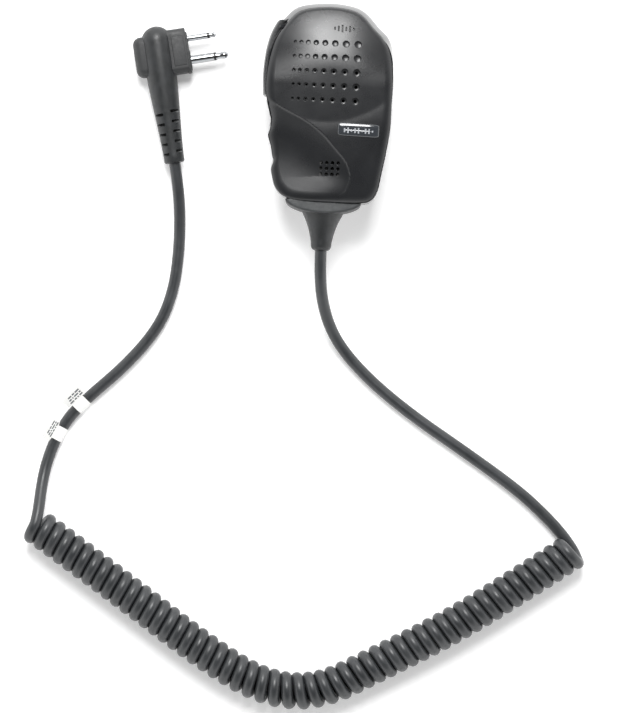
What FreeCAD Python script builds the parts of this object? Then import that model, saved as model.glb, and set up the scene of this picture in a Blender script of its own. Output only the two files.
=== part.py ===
"""Hand microphone: a palm-sized speaker microphone with a side talk lever, a swivelling belt clip, a
coiled cord and a two-pin plug, drawn as an assembly of separate named pieces.

Units are millimetres. The microphone lies on its clip on a flat surface: +Z is up and out of its front
face, +Y runs from its cord end to its top, and the origin is on the surface under the middle of it.
Driving dimensions are in the spreadsheet; every named piece is exported as parts/NAME.step.
"""

import FreeCAD, Part
import math
import os
import re
import Sketcher
from FreeCAD import Placement, Rotation, Vector

UP = Vector(0, 0, 1)
ALONG_X = Vector(1, 0, 0)
ALONG_Y = Vector(0, 1, 0)

DIMENSIONS = {
    # casing
    "half_width": (26.6, "half the width over casing and talk lever"),
    "half_height": (40.6, "half the height of the casing"),
    "back_z": (10.5, "flat back of the rear casing"),
    "joint_z": (22.0, "joint plane between the two casings"),
    "front_z": (36.0, "top of the domed front"),
    "wall": (1.8, "casing wall thickness"),
    "thumb_z": (33.4, "floor of the thumb recess in the front"),
    "seal_width": (0.8, "width of the joint seal"),
    "seal_height": (0.9, "height of the joint seal"),
    # sound openings
    "grille_x": (-14.0, "first column of grille dimples"),
    "grille_y": (23.0, "first row of grille dimples"),
    "grille_row": (5.7, "row spacing of the grille"),
    "grille_pitch": (2.4, "first column spacing"),
    "grille_pitch_step": (0.4, "growth of the column spacing"),
    "dimple_radius": (0.65, "radius of the smallest dimple"),
    "dimple_step": (0.13, "growth of the dimple radius per column"),
    "dimple_floor_z": (35.0, "floor of the dimples"),
    "voice_x": (-1.2, "first column of voice holes"),
    "voice_y": (-24.7, "first row of voice holes"),
    "voice_pitch": (2.3, "spacing of the voice holes"),
    "voice_radius": (0.75, "radius of a voice hole"),
    # name plate
    "badge_x": (13.1, "middle of the name plate"),
    "badge_y": (-11.2, "middle of the name plate"),
    "badge_length": (16.6, "name plate length"),
    "badge_height": (5.2, "name plate height"),
    "badge_depth": (0.7, "name plate thickness"),
    # talk lever
    "lever_low": (1.8, "lower end of the talk lever"),
    "lever_high": (32.4, "upper end of the talk lever"),
    "lever_z": (22.0, "middle of the talk lever"),
    "lever_half": (6.0, "half the lever's width across the casing"),
    "lever_proud": (1.2, "how far the lever stands out of the casing"),
    "lever_back": (1.8, "how far the lever reaches into its pocket"),
    "lever_gap": (0.4, "gap round the lever"),
    "pocket_depth": (4.8, "depth of the lever's pocket"),
    "pocket_wall": (1.6, "wall behind and round the pocket"),
    "pivot_x": (-19.4, "lever pivot"),
    "pivot_y": (29.4, "lever pivot"),
    "lug_radius": (1.7, "lug round the lever pivot"),
    "pivot_radius": (0.8, "lever pivot pin radius"),
    "press_y": (14.0, "where the lever presses the switch"),
    "nub_radius": (1.6, "lever nub radius"),
    "nub_tip_x": (-18.2, "end of the lever nub"),
    "plunger_radius": (1.25, "switch plunger radius"),
    "switch_x": (-15.2, "front face of the switch"),
    "switch_length": (4.0, "switch depth"),
    "switch_side": (6.4, "switch width and height"),
    # speaker
    "speaker_x": (2.5, "speaker axis"),
    "speaker_y": (12.0, "speaker axis"),
    "speaker_radius": (17.0, "speaker rim radius"),
    "speaker_top": (31.8, "speaker rim top"),
    "magnet_radius": (8.4, "speaker magnet radius"),
    "magnet_low": (20.9, "underside of the speaker magnet"),
    # voice pick-up
    "capsule_x": (2.25, "voice capsule axis"),
    "capsule_y": (-27.0, "voice capsule axis"),
    "capsule_radius": (4.0, "voice capsule radius"),
    "capsule_low": (26.2, "underside of the voice capsule"),
    "capsule_high": (31.0, "top of the voice capsule"),
    # circuit board
    "board_left": (-15.4, "left edge of the circuit board"),
    "board_right": (15.0, "right edge of the circuit board"),
    "board_low": (-28.0, "cord-end edge of the circuit board"),
    "board_high": (24.0, "top edge of the circuit board"),
    "board_z": (17.4, "underside of the circuit board"),
    "board_thick": (1.4, "circuit board thickness"),
    # casing screws
    "screw_head": (2.0, "casing screw head radius"),
    "screw_shank": (0.9, "casing screw shank radius"),
    "post_top_z": (17.0, "where the rear post meets the front post"),
    # clip
    "swivel_y": (6.0, "clip swivel axis"),
    "clip_half": (10.0, "half the clip's width"),
    "clip_plate": (1.8, "clip plate thickness"),
    "clip_base_z": (7.6, "underside of the clip base"),
    "jaw_reach": (26.0, "from the clip pin to the jaw"),
    "tab_reach": (20.0, "from the clip pin to the end of the thumb tab"),
    "base_tail": (10.0, "from the clip pin to the top of the clip base"),
    "clip_pin_z": (4.4, "clip pin height"),
    "clip_pin_radius": (1.1, "clip pin radius"),
    "boss_radius": (8.0, "swivel boss radius"),
    "boss_z": (9.7, "underside of the swivel boss"),
    "swivel_screw": (1.9, "swivel screw radius"),
    # cord and strain reliefs
    "cord_diameter": (4.8, "cord diameter"),
    "coil_diameter": (15.4, "outer diameter of the coiled stretch"),
    "boot_x": (0.5, "strain relief axis"),
    "boot_z": (20.0, "strain relief axis height"),
    "boot_end": (-59.5, "cord end of the strain relief"),
    "collar_half": (15.2, "half the width of the strain relief's collar"),
    "collar_depth": (5.0, "how far the collar stands off the casing"),
    "collar_thick": (17.0, "collar height across the casing"),
    # plug
    "plug_x": (-61.3, "cord end of the plug"),
    "plug_y": (-26.1, "cord end of the plug"),
    "plug_turn": (11.5, "plug angle on the surface, degrees"),
    "plug_radius": (6.3, "plug sleeve radius"),
    "plug_length": (56.5, "plug sleeve length"),
    "plug_tail": (3.9, "plug sleeve radius at the cord"),
    "block_low": (35.6, "cord side of the plug block"),
    "block_high": (54.2, "far side of the plug block"),
    "block_face": (12.2, "plug block face"),
    "block_back": (-9.9, "rounded back of the plug block"),
    "block_half": (4.4, "half the plug block's thickness"),
    "pad_face": (13.0, "raised pad under the contacts"),
    "small_pin_y": (49.7, "small contact axis"),
    "small_pin_radius": (1.25, "small contact radius"),
    "small_pin_length": (11.0, "small contact length"),
    "large_pin_y": (40.8, "large contact axis"),
    "large_pin_radius": (1.75, "large contact radius"),
    "large_pin_length": (14.9, "large contact length"),
}

# The casing seen from the front, clockwise from the top, at its full size.
CASING = [
    (-2.5, 40.6), (7.5, 40.0), (13.6, 37.6), (19.2, 32.0), (23.6, 27.6), (25.8, 21.5), (26.5, 13.0),
    (26.5, 3.0), (26.2, -8.0), (25.0, -18.5), (23.4, -28.5), (22.2, -35.0), (19.8, -39.0),
    (15.0, -40.4), (3.0, -40.6), (-9.0, -40.4), (-15.4, -39.2), (-19.2, -35.8), (-20.9, -31.0),
    (-21.5, -27.3), (-21.2, -23.5), (-21.9, -19.2), (-23.3, -14.6), (-23.1, -10.2), (-23.0, -6.4),
    (-24.2, -1.8), (-25.2, 4.5), (-25.4, 12.0), (-24.7, 20.0), (-22.8, 27.2), (-19.2, 33.4),
    (-13.4, 38.6),
]  # fmt: skip
# How far the side has drawn in, and at what share of the height from the joint plane to the front.
FRONT_RISE = [(0.0, 0.0), (0.35, 0.36), (1.1, 0.64), (2.6, 0.83), (5.5, 0.93), (11.0, 0.985), (18.0, 1.0)]
# The same from the joint plane to the back.
REAR_RISE = [(0.0, 0.0), (0.3, 0.3), (1.0, 0.58), (2.4, 0.8), (4.6, 0.94), (7.0, 1.0)]
# The step round the thumb recess, from the left side round to the cord end.
THUMB_EDGE = [(-30.0, 4.0), (-17.0, -3.3), (-6.0, -9.2), (3.2, -17.5), (9.6, -24.5), (11.0, -30.0),
              (9.2, -35.5), (4.0, -44.0)]  # fmt: skip
CASING_POSTS = [(-5.5, 31.8), (8.5, 32.2), (-13.6, -32.0), (15.6, -32.4)]
BOARD_POSTS = [(-11.0, -24.0), (11.0, 20.0)]

# Straight lead from the strain relief to the coil, the coil's axis, and the lead from the plug.
MIC_LEAD = [(0.5, -59.5, 20.0), (0.6, -67.0, 19.6), (1.8, -78.5, 15.2), (5.6, -90.0, 7.6), (12.5, -100.5, 2.9),
            (25.0, -112.5, 2.4), (42.0, -125.0, 2.4), (64.0, -138.5, 2.4), (86.5, -153.0, 2.4),
            (101.5, -166.0, 2.4), (109.5, -173.0, 2.4), (113.3, -178.2, 2.4)]  # fmt: skip
COIL_AXIS = [(-108.5, -178.8, 7.7), (-72.0, -203.0, 7.7), (-38.0, -226.5, 7.7), (-13.0, -239.8, 7.7),
             (9.0, -240.2, 7.7), (31.0, -228.0, 7.7), (62.0, -210.5, 7.7), (88.0, -192.6, 7.7),
             (108.6, -178.0, 7.7)]  # fmt: skip
PLUG_LEAD = [(-61.3, -26.1, 6.3), (-59.8, -33.5, 5.8), (-58.2, -46.0, 3.2), (-57.8, -62.0, 2.4),
             (-59.2, -78.5, 2.4), (-64.5, -94.0, 2.4), (-77.5, -110.6, 2.4), (-96.0, -127.8, 2.4),
             (-103.8, -139.6, 2.4), (-108.6, -152.0, 3.4), (-111.2, -164.5, 7.2), (-111.8, -175.5, 10.6)]  # fmt: skip

doc = FreeCAD.newDocument("HandMicrophone")
sheet = doc.addObject("Spreadsheet::Sheet", "Dimensions")
nodes = []


def fill_sheet():
    """Writes each driving dimension as a name, a plain number and a remark."""
    for row, (alias, (value, remark)) in enumerate(DIMENSIONS.items(), start=1):
        sheet.set(f"A{row}", alias)
        sheet.set(f"B{row}", str(value))
        sheet.set(f"C{row}", remark)
        sheet.setAlias(f"B{row}", alias)
    doc.recompute()


def dim(alias):
    """A driving dimension's value."""
    return float(sheet.get(alias))


def bound(text):
    """An expression on the sheet from one in bare aliases, such as 'wall * 2'."""
    return re.sub(r"[a-z_]{2,}", lambda found: f"Dimensions.{found.group()}", text)


def value_of(text):
    """The number that an expression in bare aliases gives."""
    return float(sheet.evalExpression(bound(text)))


def bind(thing, **expressions):
    """Binds properties of an object to the sheet. A double underscore stands for a dot."""
    for name, text in expressions.items():
        thing.setExpression(name.replace("__", "."), bound(text))


def as_node(thing, name):
    """Names a finished sub-part."""
    thing.Label = name
    nodes.append(thing)
    return thing


def put(thing, x="0", y="0", z="0"):
    """Places an object, with its position bound to the sheet."""
    bind(thing, Placement__Base__x=x, Placement__Base__y=y, Placement__Base__z=z)
    return thing


def on_plug(thing):
    """Places an object drawn in the plug's own axes."""
    thing.Placement = Placement(Vector(), Rotation(UP, 1.0))
    bind(thing, Placement__Base__x="plug_x", Placement__Base__y="plug_y", Placement__Base__z="plug_radius")
    bind(thing, Placement__Rotation__Angle="plug_turn")
    return thing


def box(x, y, z, length, width, height):
    """A box with its corner and its sides bound to the sheet."""
    made = doc.addObject("Part::Box", "Box")
    bind(made, Length=length, Width=width, Height=height)
    return put(made, x, y, z)


def cylinder(radius, height, x="0", y="0", z="0", along=UP):
    """A round bar from a point along an axis."""
    made = doc.addObject("Part::Cylinder", "Bar")
    made.Placement = Placement(Vector(), Rotation(UP, along))
    bind(made, Radius=radius, Height=height)
    return put(made, x, y, z)


def cut(base, tool):
    made = doc.addObject("Part::Cut", "Cut")
    made.Base, made.Tool = base, tool
    return made


def fuse(*parts):
    made = doc.addObject("Part::MultiFuse", "Joined")
    made.Shapes = list(parts)
    return made


def group(*parts):
    """Separate solids that share one node."""
    made = doc.addObject("Part::Compound", "Group")
    made.Links = list(parts)
    return made


def shaped(shape, name):
    """A piece whose form only Part's own functions can make."""
    made = doc.addObject("Part::Feature", name)
    made.Shape = shape
    return made


def origin_plane(body, role):
    return next(f for f in body.Origin.OriginFeatures if f.Role == role)


def outline_sketch(body, role, corners):
    """A closed sketch of straight lines on an origin plane, each corner bound to the sheet."""
    sketch = body.newObject("Sketcher::SketchObject", "Outline")
    sketch.AttachmentSupport = [(origin_plane(body, role), "")]
    sketch.MapMode = "FlatFace"
    at = [Vector(value_of(x), value_of(y), 0) for x, y in corners]
    for i, point in enumerate(at):
        sketch.addGeometry(Part.LineSegment(point, at[(i + 1) % len(at)]), False)
    for i in range(len(at)):
        sketch.addConstraint(Sketcher.Constraint("Coincident", i, 2, (i + 1) % len(at), 1))
    for i, (point, texts) in enumerate(zip(at, corners)):
        sides = (("DistanceX", -2, point.x, texts[0]), ("DistanceY", -1, point.y, texts[1]))
        for kind, axis, number, text in sides:
            if abs(number) < 1e-9:
                sketch.addConstraint(Sketcher.Constraint("PointOnObject", i, 1, axis))
            else:
                index = sketch.addConstraint(Sketcher.Constraint(kind, -1, 1, i, 1, number))
                sketch.setExpression(f"Constraints[{index}]", bound(text))
    return sketch


def turned(corners, role="XZ_Plane", axis="V_Axis"):
    """A body of revolution from a half section."""
    body = doc.addObject("PartDesign::Body", "Turned")
    sketch = outline_sketch(body, role, corners)
    spin = body.newObject("PartDesign::Revolution", "Revolution")
    spin.Profile = sketch
    spin.ReferenceAxis = (sketch, [axis])
    spin.Angle = 360.0
    body.Tip = spin
    sketch.Visibility = False
    return body


def padded(corners, role, length, both_ways=False, reverse=False):
    """A body extruded from an outline."""
    body = doc.addObject("PartDesign::Body", "Padded")
    sketch = outline_sketch(body, role, corners)
    pad = body.newObject("PartDesign::Pad", "Pad")
    pad.Profile = sketch
    pad.Midplane = both_ways
    pad.Reversed = reverse
    bind(pad, Length=length)
    body.Tip = pad
    return body


# ---- casing -------------------------------------------------------------------------------------


def casing_wire(inset, z):
    """The casing's outline drawn in by inset, at a height."""
    wide = 1 - inset / dim("half_width")
    high = 1 - inset / dim("half_height")
    curve = Part.BSplineCurve()
    curve.interpolate(Points=[Vector(x * wide, y * high, z) for x, y in CASING], PeriodicFlag=True)
    return Part.Wire([curve.toShape()])


def casing_prism(inset, low, high):
    face = Part.Face(casing_wire(inset, low))
    return face.extrude(Vector(0, 0, high - low))


def casing_form(rise, end_z, inset=0.0):
    """The solid from the joint plane to the front or back, drawn in by inset all round."""
    start = dim("joint_z")
    span = end_z - start - math.copysign(inset, end_z - start)
    sections = [casing_wire(draw + inset, start + span * share) for draw, share in rise]
    return Part.makeLoft(sections, True, True)


def solid_box(x0, y0, z0, x1, y1, z1):
    return Part.makeBox(x1 - x0, y1 - y0, z1 - z0, Vector(x0, y0, z0))


def bar(radius, start, end):
    start, end = Vector(*start), Vector(*end)
    return Part.makeCylinder(radius, (end - start).Length, start, end - start)


def pocket_box(margin):
    """The block of space that the talk lever's pocket takes, with a margin."""
    gap = dim("lever_gap") + margin
    half = dim("lever_half") + gap
    z = dim("lever_z")
    return solid_box(-40, dim("lever_low") - gap, z - half, -8, dim("lever_high") + gap, z + half)


def lever_pocket():
    return pocket_box(0).cut(casing_prism(dim("pocket_depth"), 5, 40))


def pocket_walls():
    return pocket_box(dim("pocket_wall")).cut(casing_prism(dim("pocket_depth") + dim("pocket_wall"), 5, 40))


def casing_cavity(rise, end_z):
    """The hollow inside one casing, which keeps clear of the lever pocket's walls."""
    wall = dim("wall")
    hollow = casing_form(rise, end_z, wall)
    lip = casing_prism(wall, dim("joint_z") - 0.5, dim("joint_z") + 0.5)
    return hollow.fuse(lip).cut(pocket_walls())


def thumb_block(margin):
    """Everything over the thumb recess, grown by a margin: the tool that cuts it."""
    edge = Part.BSplineCurve()
    z = dim("thumb_z") - margin
    edge.interpolate([Vector(x + margin, y + margin, z) for x, y in THUMB_EDGE])
    first, last = edge.StartPoint, edge.EndPoint
    corner = Vector(first.x - 5, last.y - 5, z)
    sides = [Part.LineSegment(a, b).toShape() for a, b in (
        (last, Vector(last.x, corner.y, z)),
        (Vector(last.x, corner.y, z), corner),
        (corner, Vector(corner.x, first.y, z)),
        (Vector(corner.x, first.y, z), first),
    )]  # fmt: skip
    face = Part.Face(Part.Wire([edge.toShape(), *sides]))
    return face.extrude(Vector(0, 0, 12))


def badge_form():
    """The name plate: a rounded slab that follows the front's surface."""
    long, high = dim("badge_length"), dim("badge_height")
    x, y = dim("badge_x") - long / 2, dim("badge_y") - high / 2
    slab = Part.makeBox(long, high, 6, Vector(x, y, 32))
    upright = [edge for edge in slab.Edges if abs(edge.Vertexes[0].Z - edge.Vertexes[-1].Z) > 5]
    slab = slab.makeFillet(1.0, upright)
    front = casing_form(FRONT_RISE, dim("front_z"))
    return slab.common(front).cut(front.translated(Vector(0, 0, -dim("badge_depth"))))


def grille_columns():
    """Each column's place and dimple radius; both grow from left to right."""
    x = dim("grille_x")
    for k in range(8):
        yield x, dim("dimple_radius") + k * dim("dimple_step")
        x += dim("grille_pitch") + k * dim("grille_pitch_step")


def sound_openings():
    """Blind grille dimples, the holes through the lower three rows, and the voice holes."""
    tools = []
    for x, radius in grille_columns():
        for row in range(5):
            y = dim("grille_y") - row * dim("grille_row")
            tools.append(bar(radius, (x, y, dim("dimple_floor_z")), (x, y, 38)))
            if row > 1:
                tools.append(bar(radius * 0.6, (x, y, 33), (x, y, 38)))
    for column in range(4):
        for row in range(3):
            x = dim("voice_x") + column * dim("voice_pitch")
            y = dim("voice_y") - row * dim("voice_pitch")
            tools.append(bar(dim("voice_radius"), (x, y, 30), (x, y, 38)))
    return tools


def cord_opening():
    """The round way through the casing's end wall for the strain relief's neck."""
    x, z = dim("boot_x"), dim("boot_z")
    return bar(4.4, (x, -45, z), (x, -36, z))


def nub_opening():
    y, z = dim("press_y"), dim("lever_z")
    return bar(dim("nub_radius") + 0.5, (-30, y, z), (-14, y, z))


def pivot_pin_form():
    x, y, z = dim("pivot_x"), dim("pivot_y"), dim("lever_z")
    reach = dim("lever_half") + dim("lever_gap") + 1.2
    return bar(dim("pivot_radius"), (x, y, z - reach), (x, y, z + reach))


def seal_form():
    """A flat ring let into the rear casing's rim."""
    outer = (dim("wall") - dim("seal_width")) / 2
    low, high = dim("joint_z") - dim("seal_height"), dim("joint_z")
    ring = casing_prism(outer, low, high).cut(casing_prism(outer + dim("seal_width"), low, high))
    x, z = dim("boot_x"), dim("boot_z")
    gaps = pocket_box(1.0).fuse(solid_box(x - 7, -45, z - 7, x + 7, -36, z + 7))
    return ring.cut(gaps)


def front_casing():
    outer = casing_form(FRONT_RISE, dim("front_z")).cut(thumb_block(0))
    cavity = casing_cavity(FRONT_RISE, dim("front_z")).cut(thumb_block(dim("wall")))
    shell = outer.cut(cavity)
    inner_top = dim("front_z") - 1.0
    posts = [bar(2.6, (x, y, dim("post_top_z")), (x, y, inner_top)) for x, y in CASING_POSTS]
    x, y, top = dim("speaker_x"), dim("speaker_y"), dim("speaker_top")
    seat = bar(dim("speaker_radius") - 0.4, (x, y, top), (x, y, inner_top))
    posts.append(seat.cut(bar(dim("speaker_radius") - 1.6, (x, y, top), (x, y, inner_top))))
    posts = [post.common(outer.fuse(casing_prism(3, 10, dim("joint_z")))) for post in posts]
    shell = shell.fuse(posts)
    shell = shell.cut([bar(dim("screw_shank"), (x, y, 10), (x, y, 27.5)) for x, y in CASING_POSTS])
    tools = [lever_pocket(), badge_form(), cord_opening(), nub_opening(), pivot_pin_form(), *sound_openings()]
    return as_node(shaped(shell.cut(tools), "FrontCasing"), "front_housing")


def rear_casing():
    outer = casing_form(REAR_RISE, dim("back_z"))
    shell = outer.cut(casing_cavity(REAR_RISE, dim("back_z")))
    back, top = dim("back_z"), dim("post_top_z")
    posts = [bar(3.2, (x, y, back + 0.5), (x, y, top)).common(outer) for x, y in CASING_POSTS]
    posts += [bar(2.3, (x, y, back + 0.5), (x, y, dim("board_z"))) for x, y in BOARD_POSTS]
    boss_y = dim("swivel_y")
    posts.append(bar(dim("boss_radius"), (0, boss_y, dim("boss_z")), (0, boss_y, back + 0.5)))
    posts.append(bar(5.2, (0, dim("swivel_y"), back + 0.5), (0, dim("swivel_y"), 15.6)))
    shell = shell.fuse(posts)
    tools = [lever_pocket(), cord_opening(), nub_opening(), pivot_pin_form(), seal_form()]
    for x, y in CASING_POSTS:
        tools.append(bar(dim("screw_head") + 0.2, (x, y, back - 1), (x, y, 13.5)))
        tools.append(bar(dim("screw_shank") + 0.3, (x, y, back), (x, y, 18)))
    tools += [bar(0.8, (x, y, 13.4), (x, y, 18)) for x, y in BOARD_POSTS]
    tools.append(bar(3.2, (0, dim("swivel_y"), dim("boss_z") - 1), (0, dim("swivel_y"), 14.6)))
    return as_node(shaped(shell.cut(tools), "RearCasing"), "rear_housing")


def casing_trim():
    """The joint seal, the name plate and the four casing screws."""
    as_node(shaped(seal_form(), "JointSeal"), "housing_seal")
    as_node(shaped(badge_form(), "NamePlate"), "badge_plate")
    screws = []
    for x, y in CASING_POSTS:
        head = cylinder("screw_head", "1.6", str(x), str(y), "11.9")
        shank = cylinder("screw_shank", "12", str(x), str(y), "13.5")
        slot = box(str(x - 1.5), str(y - 0.25), "11.4", "3", "0.5", "1.2")
        across = box(str(x - 0.25), str(y - 1.5), "11.4", "0.5", "3", "1.2")
        screws.append(cut(fuse(head, shank), fuse(slot, across)))
    as_node(group(*screws), "housing_screws")


# ---- talk lever and switch ----------------------------------------------------------------------


def talk_lever():
    """A curved bar that follows the casing's side, with an end bore and a nub."""
    z, half = dim("lever_z"), dim("lever_half")
    band = casing_prism(-dim("lever_proud"), z - half, z + half)
    band = band.cut(casing_prism(dim("lever_back"), z - half, z + half))
    band = band.common(solid_box(-40, dim("lever_low"), z - half, -8, dim("lever_high"), z + half))
    long_edges = [e for e in band.Edges if e.Length > 20 and e.BoundBox.XMin < -dim("half_width") + 0.5]
    try:
        band = band.makeFillet(0.9, long_edges)
    except Part.OCCError:
        FreeCAD.Console.PrintMessage("talk lever left with sharp edges\n")
    nub = bar(dim("nub_radius"), (-24.2, dim("press_y"), z), (dim("nub_tip_x"), dim("press_y"), z))
    x, y, reach = dim("pivot_x"), dim("pivot_y"), dim("lug_radius")
    lug = bar(reach, (x, y, z - half), (x, y, z + half))
    lug = lug.fuse(solid_box(x - 1.6, y - reach, z - half, x, y + reach, z + half))
    bore = bar(dim("pivot_radius") + 0.05, (x, y, z - 9), (x, y, z + 9))
    as_node(shaped(band.fuse([nub, lug]).cut(bore).removeSplitter(), "TalkLever"), "talk_lever")
    as_node(shaped(pivot_pin_form(), "LeverPin"), "talk_lever_pin")


def talk_switch():
    """The push switch behind the lever, with its plunger as a piece of its own."""
    case = box("switch_x", "press_y - switch_side / 2", "lever_z - switch_side / 2",
               "switch_length", "switch_side", "switch_side")  # fmt: skip
    bore = cylinder("plunger_radius + 0.1", "2.8", "switch_x - 0.1", "press_y", "lever_z", ALONG_X)
    as_node(cut(case, bore), "switch_body")
    plunger = cylinder("plunger_radius", "3.9", "nub_tip_x + 0.1", "press_y", "lever_z", ALONG_X)
    as_node(plunger, "switch_plunger")


# ---- speaker and voice pick-up ------------------------------------------------------------------


def speaker():
    """A shallow cone loudspeaker: basket, magnet, voice coil, cone and a mesh over it."""
    top, low = "speaker_top", "magnet_low"
    frame = turned([
        ("magnet_radius - 3", low + " + 4.1"), ("magnet_radius + 1", low + " + 4.1"),
        ("magnet_radius + 2", low + " + 6.2"), ("speaker_radius - 2", top + " - 2.2"),
        ("speaker_radius", top + " - 1.4"), ("speaker_radius", top), ("speaker_radius - 1.6", top),
        ("speaker_radius - 2.6", top + " - 1.4"), ("magnet_radius + 1.4", low + " + 6.9"),
        ("magnet_radius + 0.2", low + " + 4.9"), ("magnet_radius - 3", low + " + 4.9"),
    ])  # fmt: skip
    magnet = turned([
        ("0", low), ("magnet_radius", low), ("magnet_radius", low + " + 4.1"), ("4.4", low + " + 4.1"),
        ("4.4", low + " + 1.2"), ("3.4", low + " + 1.2"), ("3.4", low + " + 4.6"), ("0", low + " + 4.6"),
    ])  # fmt: skip
    foot, head = low + " + 2", low + " + 6.6"
    coil = turned([("3.7", foot), ("4.1", foot), ("4.1", head), ("3.7", head)])
    cone = turned([
        ("0", low + " + 7.9"), ("3", low + " + 7.4"), ("4.2", low + " + 6.6"), ("5.2", low + " + 6.9"),
        ("speaker_radius - 4.4", top + " - 0.9"), ("speaker_radius - 3.2", top + " - 0.3"),
        ("speaker_radius - 2.2", top + " - 0.8"), ("speaker_radius - 2.2", top + " - 0.4"),
        ("speaker_radius - 3.2", top + " + 0.05"), ("speaker_radius - 4.7", top + " - 0.5"),
        ("5", low + " + 7.4"), ("4.4", low + " + 7.2"), ("3.2", low + " + 7.9"), ("0", low + " + 8.4"),
    ])  # fmt: skip
    mesh = cylinder("speaker_radius - 1.6", "0.25", "speaker_x", "speaker_y", "speaker_top + 0.1")
    pieces = {"speaker_frame": frame, "speaker_magnet": magnet, "voice_coil": coil, "speaker_cone": cone}
    for name, body in pieces.items():
        as_node(put(body, "speaker_x", "speaker_y", "0"), name)
    as_node(mesh, "speaker_mesh")


def voice_pickup():
    """The voice capsule in its rubber cup under the voice holes."""
    cup = turned([
        ("0", "capsule_low - 1"), ("capsule_radius + 1.5", "capsule_low - 1"),
        ("capsule_radius + 1.5", "capsule_high + 0.6"), ("capsule_radius", "capsule_high + 0.6"),
        ("capsule_radius", "capsule_low"), ("0", "capsule_low"),
    ])  # fmt: skip
    capsule = turned([
        ("0", "capsule_low"), ("capsule_radius", "capsule_low"), ("capsule_radius", "capsule_high"),
        ("1", "capsule_high"), ("1", "capsule_high - 0.5"), ("0", "capsule_high - 0.5"),
    ])  # fmt: skip
    as_node(put(cup, "capsule_x", "capsule_y", "0"), "mic_grommet")
    as_node(put(capsule, "capsule_x", "capsule_y", "0"), "mic_capsule")


# ---- circuit board ------------------------------------------------------------------------------


def circuit_board():
    board = padded(
        [("board_left", "board_low"), ("board_right", "board_low"),
         ("board_right", "board_high"), ("board_left", "board_high")],  # fmt: skip
        "XY_Plane",
        "board_thick",
    )
    put(board, "0", "0", "board_z")
    holes = fuse(*[cylinder("1.1", "4", str(x), str(y), "board_z - 1") for x, y in BOARD_POSTS])
    as_node(cut(board, holes), "circuit_board")
    chips = [(-4.0, -20.0, 7.0, 5.0, 1.4), (6.0, -16.0, 4.0, 3.0, 1.0), (-9.0, -10.0, 2.0, 1.3, 0.8),
             (-5.5, -10.0, 2.0, 1.3, 0.8), (9.0, -6.0, 3.2, 3.2, 2.4), (1.0, -9.0, 2.0, 1.3, 0.8)]  # fmt: skip
    top = "board_z + board_thick"
    solids = [box(str(x), str(y), top, str(a), str(b), str(c)) for x, y, a, b, c in chips]
    as_node(group(*solids), "board_components")
    screws = []
    for x, y in BOARD_POSTS:
        head = cylinder("1.7", "1.1", str(x), str(y), "board_z + board_thick")
        shank = cylinder("0.8", "board_thick + 3.6", str(x), str(y), "board_z - 3.6")
        screws.append(fuse(head, shank))
    as_node(group(*screws), "board_screws")


def inner_wires():
    """Four insulated wires from the cord's end to the board."""
    wires = []
    top = dim("board_z") + dim("board_thick") + 0.5
    for k in range(4):
        side = k - 1.5
        start = (dim("boot_x") + side * 1.2, -35.5, dim("boot_z"))
        end = (dim("boot_x") + side * 2.4, dim("board_low") + 3, top)
        wires.append(bar(0.45, start, end))
    as_node(shaped(Part.makeCompound(wires), "InnerWires"), "inner_wires")


# ---- clip ---------------------------------------------------------------------------------------


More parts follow.
